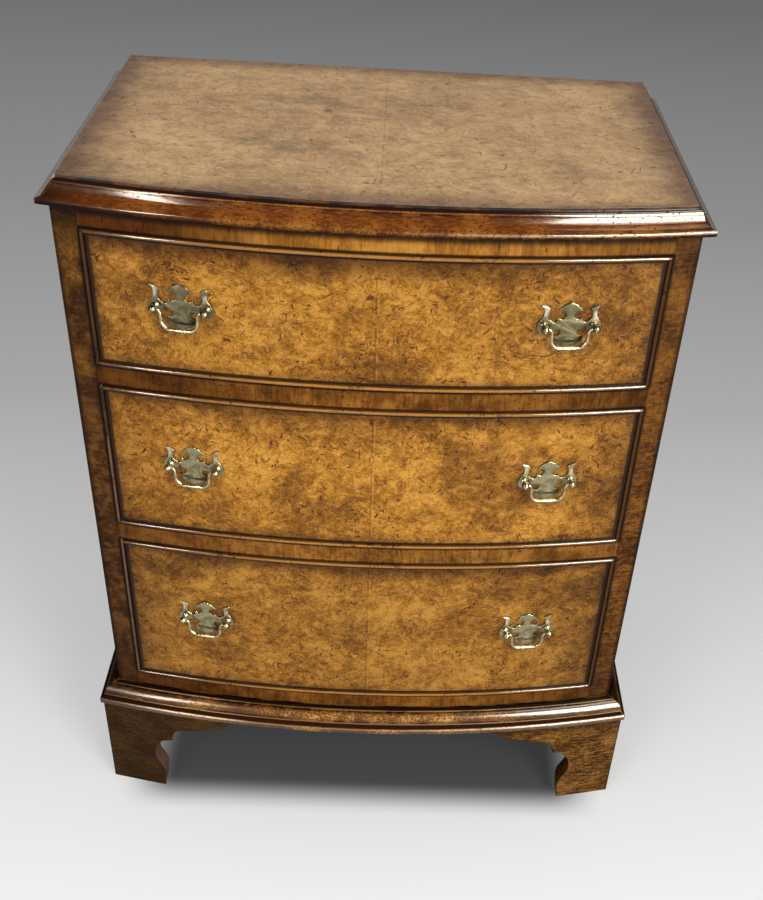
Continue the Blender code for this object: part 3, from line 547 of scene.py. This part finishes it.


# Mouldings: the tone follows the section, dark in the hollows (partly painted shade), with light
# lines on some arrises (painted highlight), and worn on the rounds
def moulding(name, look, low, high, frontMiddle=None):
    p = newPaint(name)
    where = p.place()
    x, y, z = p.split(where)
    toLeft = 0 - x
    level = (z - low) / (high - low)
    drift = p.warped(where, 60.0, 0.004)
    streaks = p.noise(p.stretch(drift, (130.0, 130.0, 800.0)), 1.0, 4.0, 0.65)
    clouds = p.noise(where, 24.0, 3.0, 0.6)
    speckle = p.noise(drift, 420.0, 3.0, 0.7)

    def share(key):                             # how much of something there is at this level
        return p.split(p.ramp(level, look[key]))[0]

    def ragged(value, amount, span):            # a step whose edge follows the clouds
        return p.step(value + (clouds - 0.5) * amount, *span)

    colour = p.ramp(level, look["section"])
    figured = share("figured") * look["streak"]
    figure = streaks * 0.7 + clouds * 0.5
    colour = p.mix(p.step(figure, 0.56, 0.74) * figured, colour, look["warm"])
    colour = p.mix((1 - p.step(figure, 0.46, 0.60)) * figured * 0.7, colour, look["pit"])

    # worn rounds, and painted highlight on the arrises, on the right partly worn-through wood
    centre = 1 - ragged(abs(x - 0.02), 0.14, (0.08, look["rubReach"]))
    rub = share("rounds") * (centre * 0.8 + 0.2) \
        * p.step(speckle * 0.55 + clouds * 0.45, look["rubFrom"], look["rubFrom"] + 0.12)
    colour = p.mix(rub * look["rub"], colour, look["gold"])
    atRight = ragged(x, 0.2, look["bareRightAt"])
    atLeft = (1 - ragged(abs(x + look["bareLeftAt"]), 0.05, (0.02, 0.085))) * look["bareLeft"]
    bareAndGlint = share("arrises") * atRight.most(atLeft) * p.step(speckle, 0.34, 0.48)
    colour = p.mix(bareAndGlint, colour, look["cream"])

    # darkening: painted shade on the ledge behind the front arris, pits, darker towards the left
    # end, and painted shade on the side pieces and mitred ends
    if look["ledgeAt"]:
        ledge = p.step(level, 0.885, 0.895)
        ledge = ledge * p.step(behindBow(x, y, look["ledgeAt"]), 0.0006, 0.0016)
        colour = p.mix(ledge * 0.95, colour, look["pit"])
    pits = 1 - p.step(p.cells(p.stretch(where, (200.0, 200.0, 420.0))), 0.12, 0.36)
    pits = pits * p.step(clouds + (speckle - 0.5) * 0.6, 0.44, 0.62)
    colour = p.mix(pits * look["pits"], colour, look["pit"])
    nose = (1 - p.step(level, 0.12, 0.22)) * ragged(toLeft, 0.06, look["noseAt"])
    tip = ragged(toLeft, 0.02, look["tipAt"])
    colour = p.mix(nose.most(tip) * look["noseEnd"], colour, look["pit"])
    ends = ragged(toLeft, 0.08, look["endAt"])
    sides = p.step(abs(x), *look["sidesAt"]) * look["sides"]
    colour = p.mix((ends * 0.6).most(sides), colour, look["pit"])

    upright = None
    if frontMiddle is not None:                 # painted shade and dirt on the flanks of a cock bead, and darker upright sides
        flank = p.step(behindBow(x, y, frontMiddle), 0.0003, 0.0014)
        upright = p.step(abs(x), look["uprightAt"], look["uprightAt"] + 0.001)
        colour = p.mix((flank * 0.85).most(upright * 0.6), colour, look["pit"])
        # painted highlight: a pale line down the left upright
        lineFrom, lineTo = look["uprightLineAt"]
        uprightGlint = p.step(toLeft, *lineFrom) * (1 - p.step(toLeft, *lineTo))
        uprightGlint = uprightGlint * p.step(clouds + (speckle - 0.5) * 0.3, 0.36, 0.56)
        colour = p.mix(uprightGlint * look["uprightLine"], colour, look["upright"])
    if look["lipAt"]:                           # painted reflection: pale along the outer edge
        lip = p.step(abs(x), look["lipAt"], look["lipAt"] + 0.001)
        colour = p.mix(lip * (0.5 + 0.35 * p.step(toLeft, 0.1, 0.2)), colour, look["pale"])
        # painted highlight along the left arris
        leftArris = p.step(level, 0.83, 0.86) * p.step(toLeft, 0.275, 0.280) * look["leftArris"]
        colour = p.mix(leftArris * p.step(speckle, 0.30, 0.42), colour, look["arris"])
    dull = share("dull").most(pits)
    if upright is not None:
        dull = dull.most(upright * 0.75)
    if look["easing"]:
        worn = p.edges(look["easing"] * 1.6) * p.step(clouds, 0.45, 0.6)
        colour = p.mix(worn * look["wornEdge"], colour, look["gold"])
    relief = speckle * 0.6 - pits + streaks * 0.6
    return p.finish("Principled BSDF", Base_Color=colour,
                    Roughness=look["rough"] + (speckle - 0.5) * 0.16 + dull * 0.35,
                    Coat_Weight=look["coat"] * (1 - dull), Coat_Roughness=look["coatRough"],
                    Specular_IOR_Level=look["gloss"],
                    Normal=p.bump(relief, look["bump"], look["easing"]))


topMouldingLook = {
    "section": tones((0.0, 20, 8, 4), (0.06, 44, 20, 7), (0.12, 66, 32, 10), (0.21, 96, 52, 18),
                     (0.27, 76, 36, 10), (0.45, 86, 43, 13), (0.69, 72, 33, 8),
                     (0.745, 30, 11, 4), (0.77, 76, 36, 12), (0.80, 108, 60, 20),
                     (0.825, 56, 24, 8), (0.85, 28, 12, 6), (1.0, 22, 9, 5)),
    "rounds": greys((0.0, 0.0), (0.16, 0.8), (0.26, 0.5), (0.36, 0.1), (0.76, 0.0), (0.80, 0.9),
                    (0.83, 0.0)),
    "figured": greys((0.0, 0.6), (0.24, 1.0), (0.80, 1.0), (0.84, 0.0)),
    "warm": tone(138, 82, 30), "streak": 0.45, "gold": tone(184, 122, 48), "rub": 0.55,
    "rubReach": 0.27, "pit": tone(20, 8, 4), "sides": 0.45, "lipAt": 0.2925, "ledgeAt": 0.0,
    "pale": tone(116, 113, 106),
    "dull": greys((0.0, 0.8), (0.16, 0.8), (0.22, 0.0), (0.30, 0.0), (0.34, 0.8), (0.50, 0.8),
                  (0.56, 0.0), (0.70, 0.0), (0.735, 0.5), (0.77, 0.0), (1.0, 0.0)),
    "arrises": greys((0.0, 0.0), (0.12, 0.0), (0.16, 0.45), (0.22, 0.45), (0.25, 0.0)),
    "cream": tone(238, 208, 164), "bareRightAt": (-0.02, 0.22), "bareLeftAt": 0.205,
    "bareLeft": 0.0, "arris": tone(222, 213, 196), "leftArris": 0.0,
    "noseEnd": 0.85, "noseAt": (0.15, 0.26), "tipAt": (0.262, 0.296),
    "endAt": (0.20, 0.29), "sidesAt": (0.2780, 0.2860),
    "easing": 0.0014, "wornEdge": 0.25, "pits": 0.8, "rubFrom": 0.46,
    "rough": 0.30, "coat": 0.80, "coatRough": 0.12, "gloss": 0.0, "bump": 0.00030,
}
baseMouldingLook = dict(topMouldingLook)
baseMouldingLook.update({
    "section": tones((0.0, 56, 28, 10), (0.20, 96, 58, 26), (0.245, 160, 120, 78),
                     (0.275, 118, 80, 46), (0.30, 40, 20, 10), (0.44, 44, 22, 11),
                     (0.475, 150, 104, 58), (0.51, 60, 30, 10), (0.64, 94, 56, 18),
                     (0.78, 106, 64, 22), (0.85, 72, 37, 12), (0.88, 26, 11, 5),
                     (0.895, 40, 18, 8), (0.908, 132, 90, 46), (0.93, 70, 40, 18),
                     (0.96, 22, 9, 4), (1.0, 20, 8, 4)),
    "rounds": greys((0.0, 0.4), (0.22, 0.7), (0.29, 0.0), (0.54, 0.0), (0.62, 0.9), (0.74, 1.0),
                    (0.83, 0.5), (0.88, 0.0)),
    "figured": greys((0.0, 1.0), (0.27, 1.0), (0.30, 0.0), (0.49, 0.0), (0.53, 1.0), (0.87, 1.0),
                     (0.90, 0.0)),
    "gold": tone(206, 158, 76), "rub": 0.85, "rubFrom": 0.50, "streak": 0.6, "sides": 0.0,
    "lipAt": 0.0, "ledgeAt": cadBox[0].y + 0.0147, "noseEnd": 0.0, "bareLeft": 1.0,
    "arrises": greys((0.0, 0.0), (0.20, 0.1), (0.24, 0.85), (0.28, 0.85), (0.295, 0.0),
                     (0.455, 0.0), (0.475, 0.5), (0.49, 0.0), (0.895, 0.0), (0.908, 0.6),
                     (0.92, 0.6), (0.93, 0.0)),
    "dull": greys((0.0, 0.3), (0.285, 0.0), (0.31, 1.0), (0.46, 1.0), (0.50, 0.2), (0.60, 0.5),
                  (0.68, 0.0), (0.87, 0.0), (0.90, 0.4), (0.94, 0.4), (0.96, 1.0), (1.0, 1.0)),
    "coat": 1.0, "coatRough": 0.18,
})
beadLook = dict(topMouldingLook)
beadLook.update({
    "section": tones((0.0, 58, 27, 9), (1.0, 62, 30, 10)),
    "rounds": greys((0.0, 1.0), (1.0, 1.0)),
    "figured": greys((0.0, 1.0), (1.0, 1.0)),
    "gold": tone(184, 126, 56), "warm": tone(86, 44, 16), "rub": 0.8, "rubReach": 0.29,
    "rubFrom": 0.36, "sides": 0.0, "lipAt": 0.0, "ledgeAt": 0.0, "noseEnd": 0.0,
    "arrises": greys((0.0, 0.0), (1.0, 0.0)),
    "dull": greys((0.0, 0.0), (1.0, 0.0)),
    "easing": 0.0, "wornEdge": 0.0,
    "coat": 0.85, "coatRough": 0.10, "pits": 0.25, "bump": 0.00008,
    "uprightAt": 0.2555, "upright": tone(136, 106, 84),
    "uprightLineAt": ((0.2566, 0.2574), (0.2588, 0.2596)),
})
beadLines = {"bottom": 0.50, "middle": 0.60, "top": 0.15}
sideLooks = {"top_moulding": {"sides": 0.70, "lipAt": 0.2885, "leftArris": 0.8, "noseEnd": 0.0},
             "base_moulding": {"sides": 0.88, "coat": 0.1, "bareLeft": 0.0}}
for kind, look in (("top_moulding", topMouldingLook), ("base_moulding", baseMouldingLook)):
    low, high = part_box(kind + "_front")
    dress(moulding("polished_" + kind, look, low.z, high.z), kind + "_front")
    dress(moulding("polishedSide_" + kind, dict(look, **sideLooks[kind]), low.z, high.z),
          kind + "_left", kind + "_right")
for name in drawers:
    low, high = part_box(name + "_drawer_cock_bead")
    look = dict(beadLook, uprightLine=beadLines[name])
    dress(moulding("polishedBead_" + name, look, low.z, high.z, low.y),
          name + "_drawer_cock_bead")


def footEdges(p, colour, place, clouds, look):
    x, y, z = place
    # partly painted shade, partly wear: the feet darker on the left, and painted shade at the top
    # below the base moulding
    rubbed = p.step(x + (clouds - 0.5) * 0.3, -0.20, 0.24)
    crown = p.step(z, *look["crownAt"])
    colour = p.mix(((1 - rubbed) * 0.84).most(crown * 0.7), colour, look["grime"])
    colour = p.mix(p.edges(0.0035, 0.3) * 0.6, colour, look["line"])
    # painted light and shade on the inner scroll faces: lighter on the left foot, dark on the
    # right
    scroll = p.step(p.sideways(), 0.55, 0.75) * (1 - p.step(abs(x), *look["scrollWithin"])) * 0.75
    rightSide = p.step(x, -0.01, 0.01)
    colour = p.mix(scroll * rightSide, colour, look["line"])
    return p.mix(scroll * (1 - rightSide), colour, look["scroll"])


dress(plainWood("darkWalnutFeet", footLook, footEdges),
      "front_foot_left", "front_foot_left_return", "front_foot_right", "front_foot_right_return",
      "rear_foot_left", "rear_foot_right")
print("mouldings, beads and feet polished")

# Bare timber inside and behind
bareAcross = plainWood("bareTimber_long", dict(bareLook, grain=(6.0, 60.0, 90.0)))
bareUpright = plainWood("bareTimber_deep", dict(bareLook, grain=(60.0, 6.0, 90.0)))
backLook = dict(bareLook, grain=(70.0, 20.0, 5.0), dark=tone(92, 62, 34),
                brown=tone(122, 86, 50), light=tone(150, 112, 70))
dress(plainWood("backPanelTimber", backLook), "back_panel")
dress(bareAcross, "bottom_board", "top_board")
for name in drawers:
    dress(bareUpright, name + "_drawer_side_left", name + "_drawer_side_right")
    dress(bareAcross, name + "_drawer_back", name + "_drawer_bottom")
dress(bareUpright, "runner_lower_left", "runner_lower_right", "runner_upper_left",
      "runner_upper_right", "kicker_left", "kicker_right")
print("bare timber done")


# Brass handles: a pierced plate with turned posts, and a swan-neck bail
handleSizes = {
    "inset": 0.086, "lift": 0.0025, "gap": 0.0003,
    "halfWidth": 0.030, "thickness": 0.0016, "edgeRound": 0.00036,
    "postHalf": 0.0235, "axisHeight": 0.0088,
    "headRadius": 0.0039, "stemRadius": 0.0020, "collarRadius": 0.0036,
    "collarHeight": 0.0010, "neckHeight": 0.0024, "finialRadius": 0.0012,
    "finialHeight": 0.0034, "frontThickness": 0.022, "nutRadius": 0.0042, "nutHeight": 0.0028,
    "bailDrop": 0.0194, "bailHalf": 0.0165, "pinRadius": 0.0012, "barRadius": 0.0018,
    "postSides": 28, "barSides": 14,
}

# Right half of the plate from the crest down: shares of the half width, then the bulge of the
# stretch before each point and its steps
plateShares = (
    (0.000, 0.760, 0, 1), (0.110, 0.715, -0.20, 5), (0.250, 0.620, -0.26, 6),
    (0.375, 0.470, -0.24, 6), (0.265, 0.470, 0.12, 4), (0.265, 0.215, 1.05, 14),
    (0.365, 0.285, 0.24, 5), (0.410, 0.150, -0.10, 4), (0.500, 0.115, 0.30, 4),
    (0.650, 0.220, -0.06, 4), (0.665, 0.430, 0.16, 6), (0.610, 0.560, 0.10, 4),
    (0.930, 0.680, -0.16, 6), (0.810, 0.420, 0.30, 8), (0.900, 0.200, 0.22, 6),
    (1.000, -0.050, -0.12, 6), (0.860, -0.250, -0.36, 8), (0.740, -0.160, 0.10, 4),
    (0.470, -0.120, 0.06, 4), (0.370, -0.120, 0, 1), (0.350, -0.320, 0.95, 12),
    (0.465, -0.340, 0.10, 3), (0.330, -0.570, -0.28, 8), (0.150, -0.660, -0.20, 6),
    (0.000, -0.700, -0.20, 5),
)
# Right half of the bail from the pin down: shares of its half width and of its drop
bailShares = (
    (1.180, 0.000, 0, 1), (1.080, -0.090, 0.25, 4), (1.020, -0.280, 0.12, 5),
    (1.010, -0.520, 0.02, 5), (0.520, -0.985, -0.38, 12), (0.000, -1.000, 0, 6),
)


def arcPath(points):
    path = [Vector(points[0][:2])]
    for a, b, bulge, steps in points[1:]:
        start = path[-1]
        end = Vector((a, b))
        if bulge:
            chord = end - start
            normal = Vector((-chord.y, chord.x))
            centre = (start + end) / 2 + normal * ((1 + bulge ** 2) / (4 * bulge) - bulge / 2)
            arm = start - centre
            for step in range(1, steps):
                turn = 4 * atan(bulge) * step / steps
                path.append(centre + Vector((arm.x * cos(turn) - arm.y * sin(turn),
                                             arm.x * sin(turn) + arm.y * cos(turn))))
        else:
            for step in range(1, steps):
                path.append(start.lerp(end, step / steps))
        path.append(end)
    return path


# Edges bent by more than the crease are hard. Short ones, where two runs join, go by the joint.
def meshOf(name, build, crease=42, joint=42, short=0.004):
    bm = bmesh.new()
    build(bm)
    bmesh.ops.recalc_face_normals(bm, faces=bm.faces)
    for face in bm.faces:
        face.smooth = True
    for edge in bm.edges:
        limit = crease if edge.calc_length() > short else joint
        edge.smooth = len(edge.link_faces) == 2 and edge.calc_face_angle() < radians(limit)
    mesh = bpy.data.meshes.new(name)
    bm.to_mesh(mesh)
    bm.free()
    return mesh


def addLoft(bm, rings):
    loops = [[bm.verts.new(point) for point in ring] for ring in rings]
    count = len(loops[0])
    for near, far in zip(loops, loops[1:]):
        for i in range(count):
            j = (i + 1) % count
            bm.faces.new((near[i], near[j], far[j], far[i]))
    bm.faces.new(loops[0])
    bm.faces.new(loops[-1])


def addTurned(bm, profile, sides, centreX):
    rings = []
    for radius, height in profile:
        radius = max(radius, 0.00002)           # no ring closes to a point
        rings.append([(centreX + radius * cos(2 * pi * (i + 0.5) / sides), -height,
                       radius * sin(2 * pi * (i + 0.5) / sides)) for i in range(sides)])
    addLoft(bm, rings)


def insetPath(outline, amount):                 # the outline moved inwards by the amount
    moved = []
    count = len(outline)
    for i in range(count):
        before = outline[i - 1]
        here = outline[i]
        after = outline[(i + 1) % count]
        first = (here - before).normalized()
        second = (after - here).normalized()
        normal = Vector((first.y, -first.x)) + Vector((second.y, -second.x))
        if normal.length < 0.001:
            moved.append(here.copy())
            continue
        normal.normalize()
        moved.append(here + normal * amount)
    return moved


def buildPlate(bm):
    size = handleSizes
    right = [Vector((a, b)) * size["halfWidth"] for a, b in arcPath(plateShares)]
    outline = right + [Vector((-p.x, p.y)) for p in right[1:-1]][::-1]
    area = sum(a.x * b.y - b.x * a.y for a, b in zip(outline, outline[1:] + outline[:1]))
    inward = -1 if area > 0 else 1
    plateFace = size["gap"] + size["thickness"]
    easing = size["edgeRound"]
    rings = [[(p.x, -size["gap"], p.y) for p in outline],
             [(p.x, -(plateFace - easing), p.y) for p in outline]]
    for turn in (30, 60, 90):
        ring = insetPath(outline, inward * easing * (1 - cos(radians(turn))))
        rise = easing * sin(radians(turn))
        rings.append([(p.x, -(plateFace - easing + rise), p.y) for p in ring])
    addLoft(bm, rings)
    collar = plateFace + size["collarHeight"]
    neck = collar + size["neckHeight"]
    nutFace = size["frontThickness"] + 2 * size["gap"]
    axis = size["axisHeight"]
    ball = []
    for i in range(13):
        turn = pi * (-0.36 + 0.74 * i / 12)
        ball.append((size["headRadius"] * cos(turn), axis + size["headRadius"] * sin(turn)))
    finial = axis + size["finialHeight"]
    nutBack = nutFace + size["nutHeight"]
    inPlate = plateFace - size["thickness"] / 2
    profile = [
        (0, -nutBack), (size["nutRadius"], -nutBack),
        (size["nutRadius"], -nutFace), (size["stemRadius"], -nutFace),
        (size["stemRadius"], inPlate), (size["collarRadius"], inPlate),
        (size["collarRadius"], plateFace + size["collarHeight"] * 0.5),
        (size["collarRadius"] * 0.9, collar), (size["stemRadius"] * 1.25, collar + 0.0003),
        (size["stemRadius"], (collar + neck) / 2), *ball,
        (size["finialRadius"] * 1.1, finial), (size["finialRadius"] * 0.8, finial + 0.0004),
        (0, finial + 0.0006),
    ]
    for side in (-1, 1):
        addTurned(bm, profile, size["postSides"], side * size["postHalf"])


def buildBail(bm):
    size = handleSizes
    points = [(size["bailHalf"] * a, size["bailDrop"] * b, bulge, steps)
              for a, b, bulge, steps in bailShares]
    right = [Vector((a, 0, b)) for a, b in arcPath(points)]
    right.insert(0, Vector((size["postHalf"], 0, 0)))
    centres = right + [Vector((-p.x, 0, p.z)) for p in right[-2::-1]]
    across = Vector((0, -1, 0))
    rings = []
    sides = size["barSides"]
    for i, centre in enumerate(centres):
        ahead = centres[min(i + 1, len(centres) - 1)]
        behind = centres[max(i - 1, 0)]
        out = (ahead - behind).normalized().cross(across).normalized()
        share = min(1, -centre.z / size["bailDrop"])
        radius = size["pinRadius"] + (size["barRadius"] - size["pinRadius"]) * share
        rings.append([centre + radius * (cos(2 * pi * k / sides) * out
                                         + sin(2 * pi * k / sides) * across)
                      for k in range(sides)])
    addLoft(bm, rings)


# Mouldings and beads: the same shapes, with the steps of the bow shaded as one curve
def smoothCopy(name, body, crease):
    source = nodes[name]

    def build(bm):
        bm.from_mesh(source.data)
        bmesh.ops.remove_doubles(bm, verts=bm.verts, dist=0.00001)

    mesh = meshOf("smooth_" + name, build, crease, joint=12)
    if "custom_normal" in mesh.attributes:
        mesh.attributes.remove(mesh.attributes["custom_normal"])
    mesh.materials.append(source.data.materials[0])
    piece = newObject("smooth_" + name, mesh)
    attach(piece, body)
    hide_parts(name)


for kind in ("top_moulding", "base_moulding"):
    for part in ("front", "left", "right"):
        smoothCopy(kind + "_" + part, "carcase", 42)
for name in drawers:
    smoothCopy(name + "_drawer_cock_bead", name + "_drawer", 60)


def agedBrass(name, look):
    p = newPaint(name)
    where = p.place()
    x, y, z = p.split(where)
    stains = p.noise(where, 240.0, 4.0, 0.6)
    broad = p.noise(where, 70.0, 2.0)
    scratches = p.noise(p.stretch(where, (900.0, 900.0, 140.0)), 1.0, 2.0)
    tarnish = p.step(stains * 0.6 + broad * 0.5, 0.44, 0.68)
    proud = p.step(-1 * y, look["recess"], look["proud"])
    colour = p.mix(tarnish, look["bright"], look["dull"])
    colour = p.mix((1 - proud) * look["grime"], colour, look["dark"])
    besideX, belowUp = look["shadowBeneathAt"]        # painted shadow below the plate's right half
    beneath = p.step(x, *besideX) * (1 - p.step(z, *belowUp))
    colour = p.mix(beneath * look["beneath"], colour, look["dark"])
    colour = p.mix(1.0, colour, grey(look["light"]), "MULTIPLY")
    rim = p.edges(look["rim"], 0.25)
    hornX, hornUp = look["hornsAt"]             # painted highlight on the upper corners, partly worn
    horns = p.step(abs(x), *hornX) * p.step(z, *hornUp) * p.step(broad, 0.40, 0.55)
    # painted highlight: bright edges and upper corners
    bright = (rim * look["rimShine"]).most(horns * look["horns"])
    colour = p.mix(bright, colour, look["rubbed"])
    rough = look["rough"] + tarnish * 0.16 + (1 - proud) * 0.08 - rim * 0.08
    return p.finish("Principled BSDF", Base_Color=colour, Metallic=1.0, Roughness=rough,
                    Normal=p.bump(stains * 0.6 + scratches * 0.25, 0.00012, look["rim"]))


plateLook = {
    "bright": tone(128, 121, 94), "dull": tone(92, 84, 62), "dark": tone(36, 28, 16),
    "rubbed": tone(222, 216, 192), "rim": 0.0005, "rimShine": 0.18,
    "horns": 0.55, "hornsAt": ((0.0185, 0.0235), (0.004, 0.012)),
    "beneath": 0.8, "shadowBeneathAt": ((0.003, 0.012), (-0.012, -0.002)),
    "recess": 0.0010, "proud": 0.0018, "grime": 0.95, "rough": 0.20,
}
bailLook = dict(plateLook)
bailLook.update({
    "bright": tone(178, 171, 142), "dull": tone(122, 112, 84), "dark": tone(46, 37, 22),
    "rubbed": tone(226, 216, 186), "rim": 0.0004, "rimShine": 0.0, "horns": 0.0, "beneath": 0.0,
    "recess": -0.0014, "proud": 0.0008, "grime": 0.7, "light": 1.0,
})
# painted light: each drawer's plates lighter or darker as a whole
plateLight = {"bottom": 1.50, "middle": 1.40, "top": 0.80}

bailMesh = meshOf("handleBail", buildBail)
bailMesh.materials.append(agedBrass("agedBrass_bails", bailLook))
for name in drawers:
    low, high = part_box(name + "_drawer_front")
    plateMesh = meshOf("handlePlate_" + name, buildPlate)
    plateMesh.materials.append(agedBrass("agedBrass_plates_" + name,
                                         dict(plateLook, light=plateLight[name])))
    for side, hand in ((-1, "left"), (1, "right")):
        x = side * (high.x - handleSizes["inset"])
        bow = sqrt(bowRadius ** 2 - x * x) - sqrt(bowRadius ** 2 - carcaseHalf ** 2)
        y = cadBox[1].y - carcaseDepth - bow
        z = (low.z + high.z) / 2 + handleSizes["lift"]
        seat = Matrix.Translation((x, y, z)) @ Matrix.Rotation(asin(x / bowRadius), 4, "Z")
        plate = newObject(name + "_" + hand + "_handlePlate", plateMesh)
        bail = newObject(name + "_" + hand + "_handleBail", bailMesh)
        plate.matrix_world = seat
        bail.matrix_world = seat @ Matrix.Translation((0, -handleSizes["axisHeight"], 0))
        body = name + "_drawer"
        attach(plate, body)
        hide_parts(body + "_handle_" + hand + "_plate")
        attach(bail, body + "_" + hand + "_bail")
        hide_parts(body + "_handle_" + hand + "_bail")
print("handles hung")


# Floor: pale in front, greyer behind, with the soft shadow that the chest stands in
def floorPaint(look):
    p = newPaint("paleFloor")
    x, y, z = p.split(p.place())
    fadeFrom, fadeTo = look["fadeAt"]
    colour = p.ramp((y - fadeFrom) / (fadeTo - fadeFrom), look["fade"])
    soft = look["shadowSoft"]
    inShade = 1 - p.step(abs(x) - look["shadowHalf"], -soft, soft)
    inShade = inShade * p.step(y, *look["shadowFront"]) * (1 - p.step(y, *look["shadowBack"]))
    colour = p.mix(inShade * look["shadow"], colour, look["shadowColour"])
    seen = p.node("LightPath", {}, {}, "Is Camera Ray")
    seen = seen.most(seen.also("Is Glossy Ray")).most(seen.also("Is Transmission Ray"))

    def dimmed(amount):
        return p.mix(1.0, colour, grey(amount), "MULTIPLY")

    lit = p.mix(seen, dimmed(look["bounce"]), dimmed(1 - look["glow"]))
    glow = p.mix(seen, grey(0.0), dimmed(look["glow"]))
    return p.finish("Principled BSDF", Base_Color=lit, Roughness=0.9, Specular_IOR_Level=0.1,
                    Emission_Color=glow, Emission_Strength=1.0)


floorLook = {
    "fade": greys((0.0, 0.81), (0.10, 0.70), (0.19, 0.57), (0.30, 0.415), (0.52, 0.295),
                  (1.0, 0.19)),
    "fadeAt": (-0.5, 3.6), "shadowHalf": 0.262, "shadowSoft": 0.035,
    "shadowFront": (-0.211, -0.157), "shadowBack": (0.10, 0.24),
    "shadow": 0.94, "shadowColour": grey(0.020), "bounce": 0.6, "glow": 0.5,
}
floorMesh = meshOf("floor", lambda bm: bmesh.ops.create_circle(bm, cap_ends=True,
                                                              segments=96, radius=9.0))
floorMesh.materials.append(floorPaint(floorLook))
floor = newObject("paleFloor", floorMesh)
floor.location = (0, 0, -0.0004)


# Lamps: soft boxes that only light, and bright ones that only shine in the polish and brass
def addLamp(name, place, target, size, power, shines):
    lamp = bpy.data.lights.new(name, "AREA")
    lamp.shape = "ELLIPSE" if shines else "RECTANGLE"
    lamp.size, lamp.size_y = size
    lamp.energy = power
    lamp.color = (1.0, 0.95, 0.82) if shines else (1.0, 1.0, 1.0)
    holder = newObject(name, lamp)
    holder.location = place
    holder.rotation_euler = (Vector(target) - Vector(place)).to_track_quat("-Z", "Y").to_euler()
    holder.visible_camera = False
    holder.visible_glossy = shines
    holder.visible_diffuse = not shines


lamps = {
    "rightBox": ((1.40, -2.20, 2.1), (0, -0.1, 0.45), (1.0, 1.0), 50.0, False),
    "leftBox": ((-1.30, -2.20, 2.1), (0, -0.1, 0.45), (1.0, 1.0), 24.0, False),
    "overhead": ((0.0, -0.5, 2.9), (0, 0, 0.4), (2.4, 2.0), 44.0, False),
    "rightShine": ((1.60, -2.15, 1.60), (0, -0.1, 0.9), (1.32, 2.9), 410.0, True),
    "rightSky": ((0.98, -0.15, 2.10), (0.2, -0.15, 0.7), (0.75, 1.10), 22.0, True),
    "leftShine": ((-1.32, -2.20, 1.35), (0, -0.1, 1.0), (0.20, 2.3), 56.0, True),
}
for name, (place, target, size, power, shines) in lamps.items():
    addLamp(name, place, target, size, power, shines)

# The room: even light, a pale band near the horizon and a dim ceiling in the reflections
worldLook = {"fill": 0.42, "band": 0.18, "ceiling": 0.08, "bandTop": (0.35, 0.62)}
world = bpy.data.worlds.new("studio")
bpy.context.scene.world = world
room = Paint(world)
height = room.split(room.node("TexCoord", {}, {}, "Generated"))[2]
glossy = room.node("LightPath", {}, {}, "Is Glossy Ray")
above = room.step(height, *worldLook["bandTop"])
mirrored = worldLook["band"] - above * (worldLook["band"] - worldLook["ceiling"])
level = glossy * mirrored + (1 - glossy) * worldLook["fill"]
room.finish("Background", Color=grey(1.0), Strength=level)

# Camera, fitted to the photo's corners, edges and mouldings
cameraFit = {
    "place": (0.01514, -1.12230, 1.1471), "yaw": 0.0478, "pitch": 0.66067, "roll": 0.06846,
    "focal": 1186.11, "middle": (429.544, 529.639), "picture": (763, 900),
}
yaw, pitch, roll = cameraFit["yaw"], cameraFit["pitch"], cameraFit["roll"]
ahead = Vector((sin(yaw) * cos(pitch), cos(yaw) * cos(pitch), -sin(pitch)))
right = Vector((cos(yaw), -sin(yaw), 0))
up = right.cross(ahead)
turnedRight = right * cos(roll) + up * sin(roll)
turnedUp = up * cos(roll) - right * sin(roll)
wide, tall = cameraFit["picture"]
lens = bpy.data.cameras.new("camera")
lens.sensor_width = 36
lens.lens = cameraFit["focal"] * lens.sensor_width / tall
lens.shift_x = (wide / 2 - cameraFit["middle"][0]) / tall
lens.shift_y = (cameraFit["middle"][1] - tall / 2) / tall
camera = newObject("camera", lens)
basis = Matrix((turnedRight, turnedUp, -ahead)).transposed().to_4x4()
camera.matrix_world = Matrix.Translation(cameraFit["place"]) @ basis
bpy.context.scene.camera = camera
bpy.context.scene.view_settings.view_transform = "Standard"
print("stage, lamps and camera set")
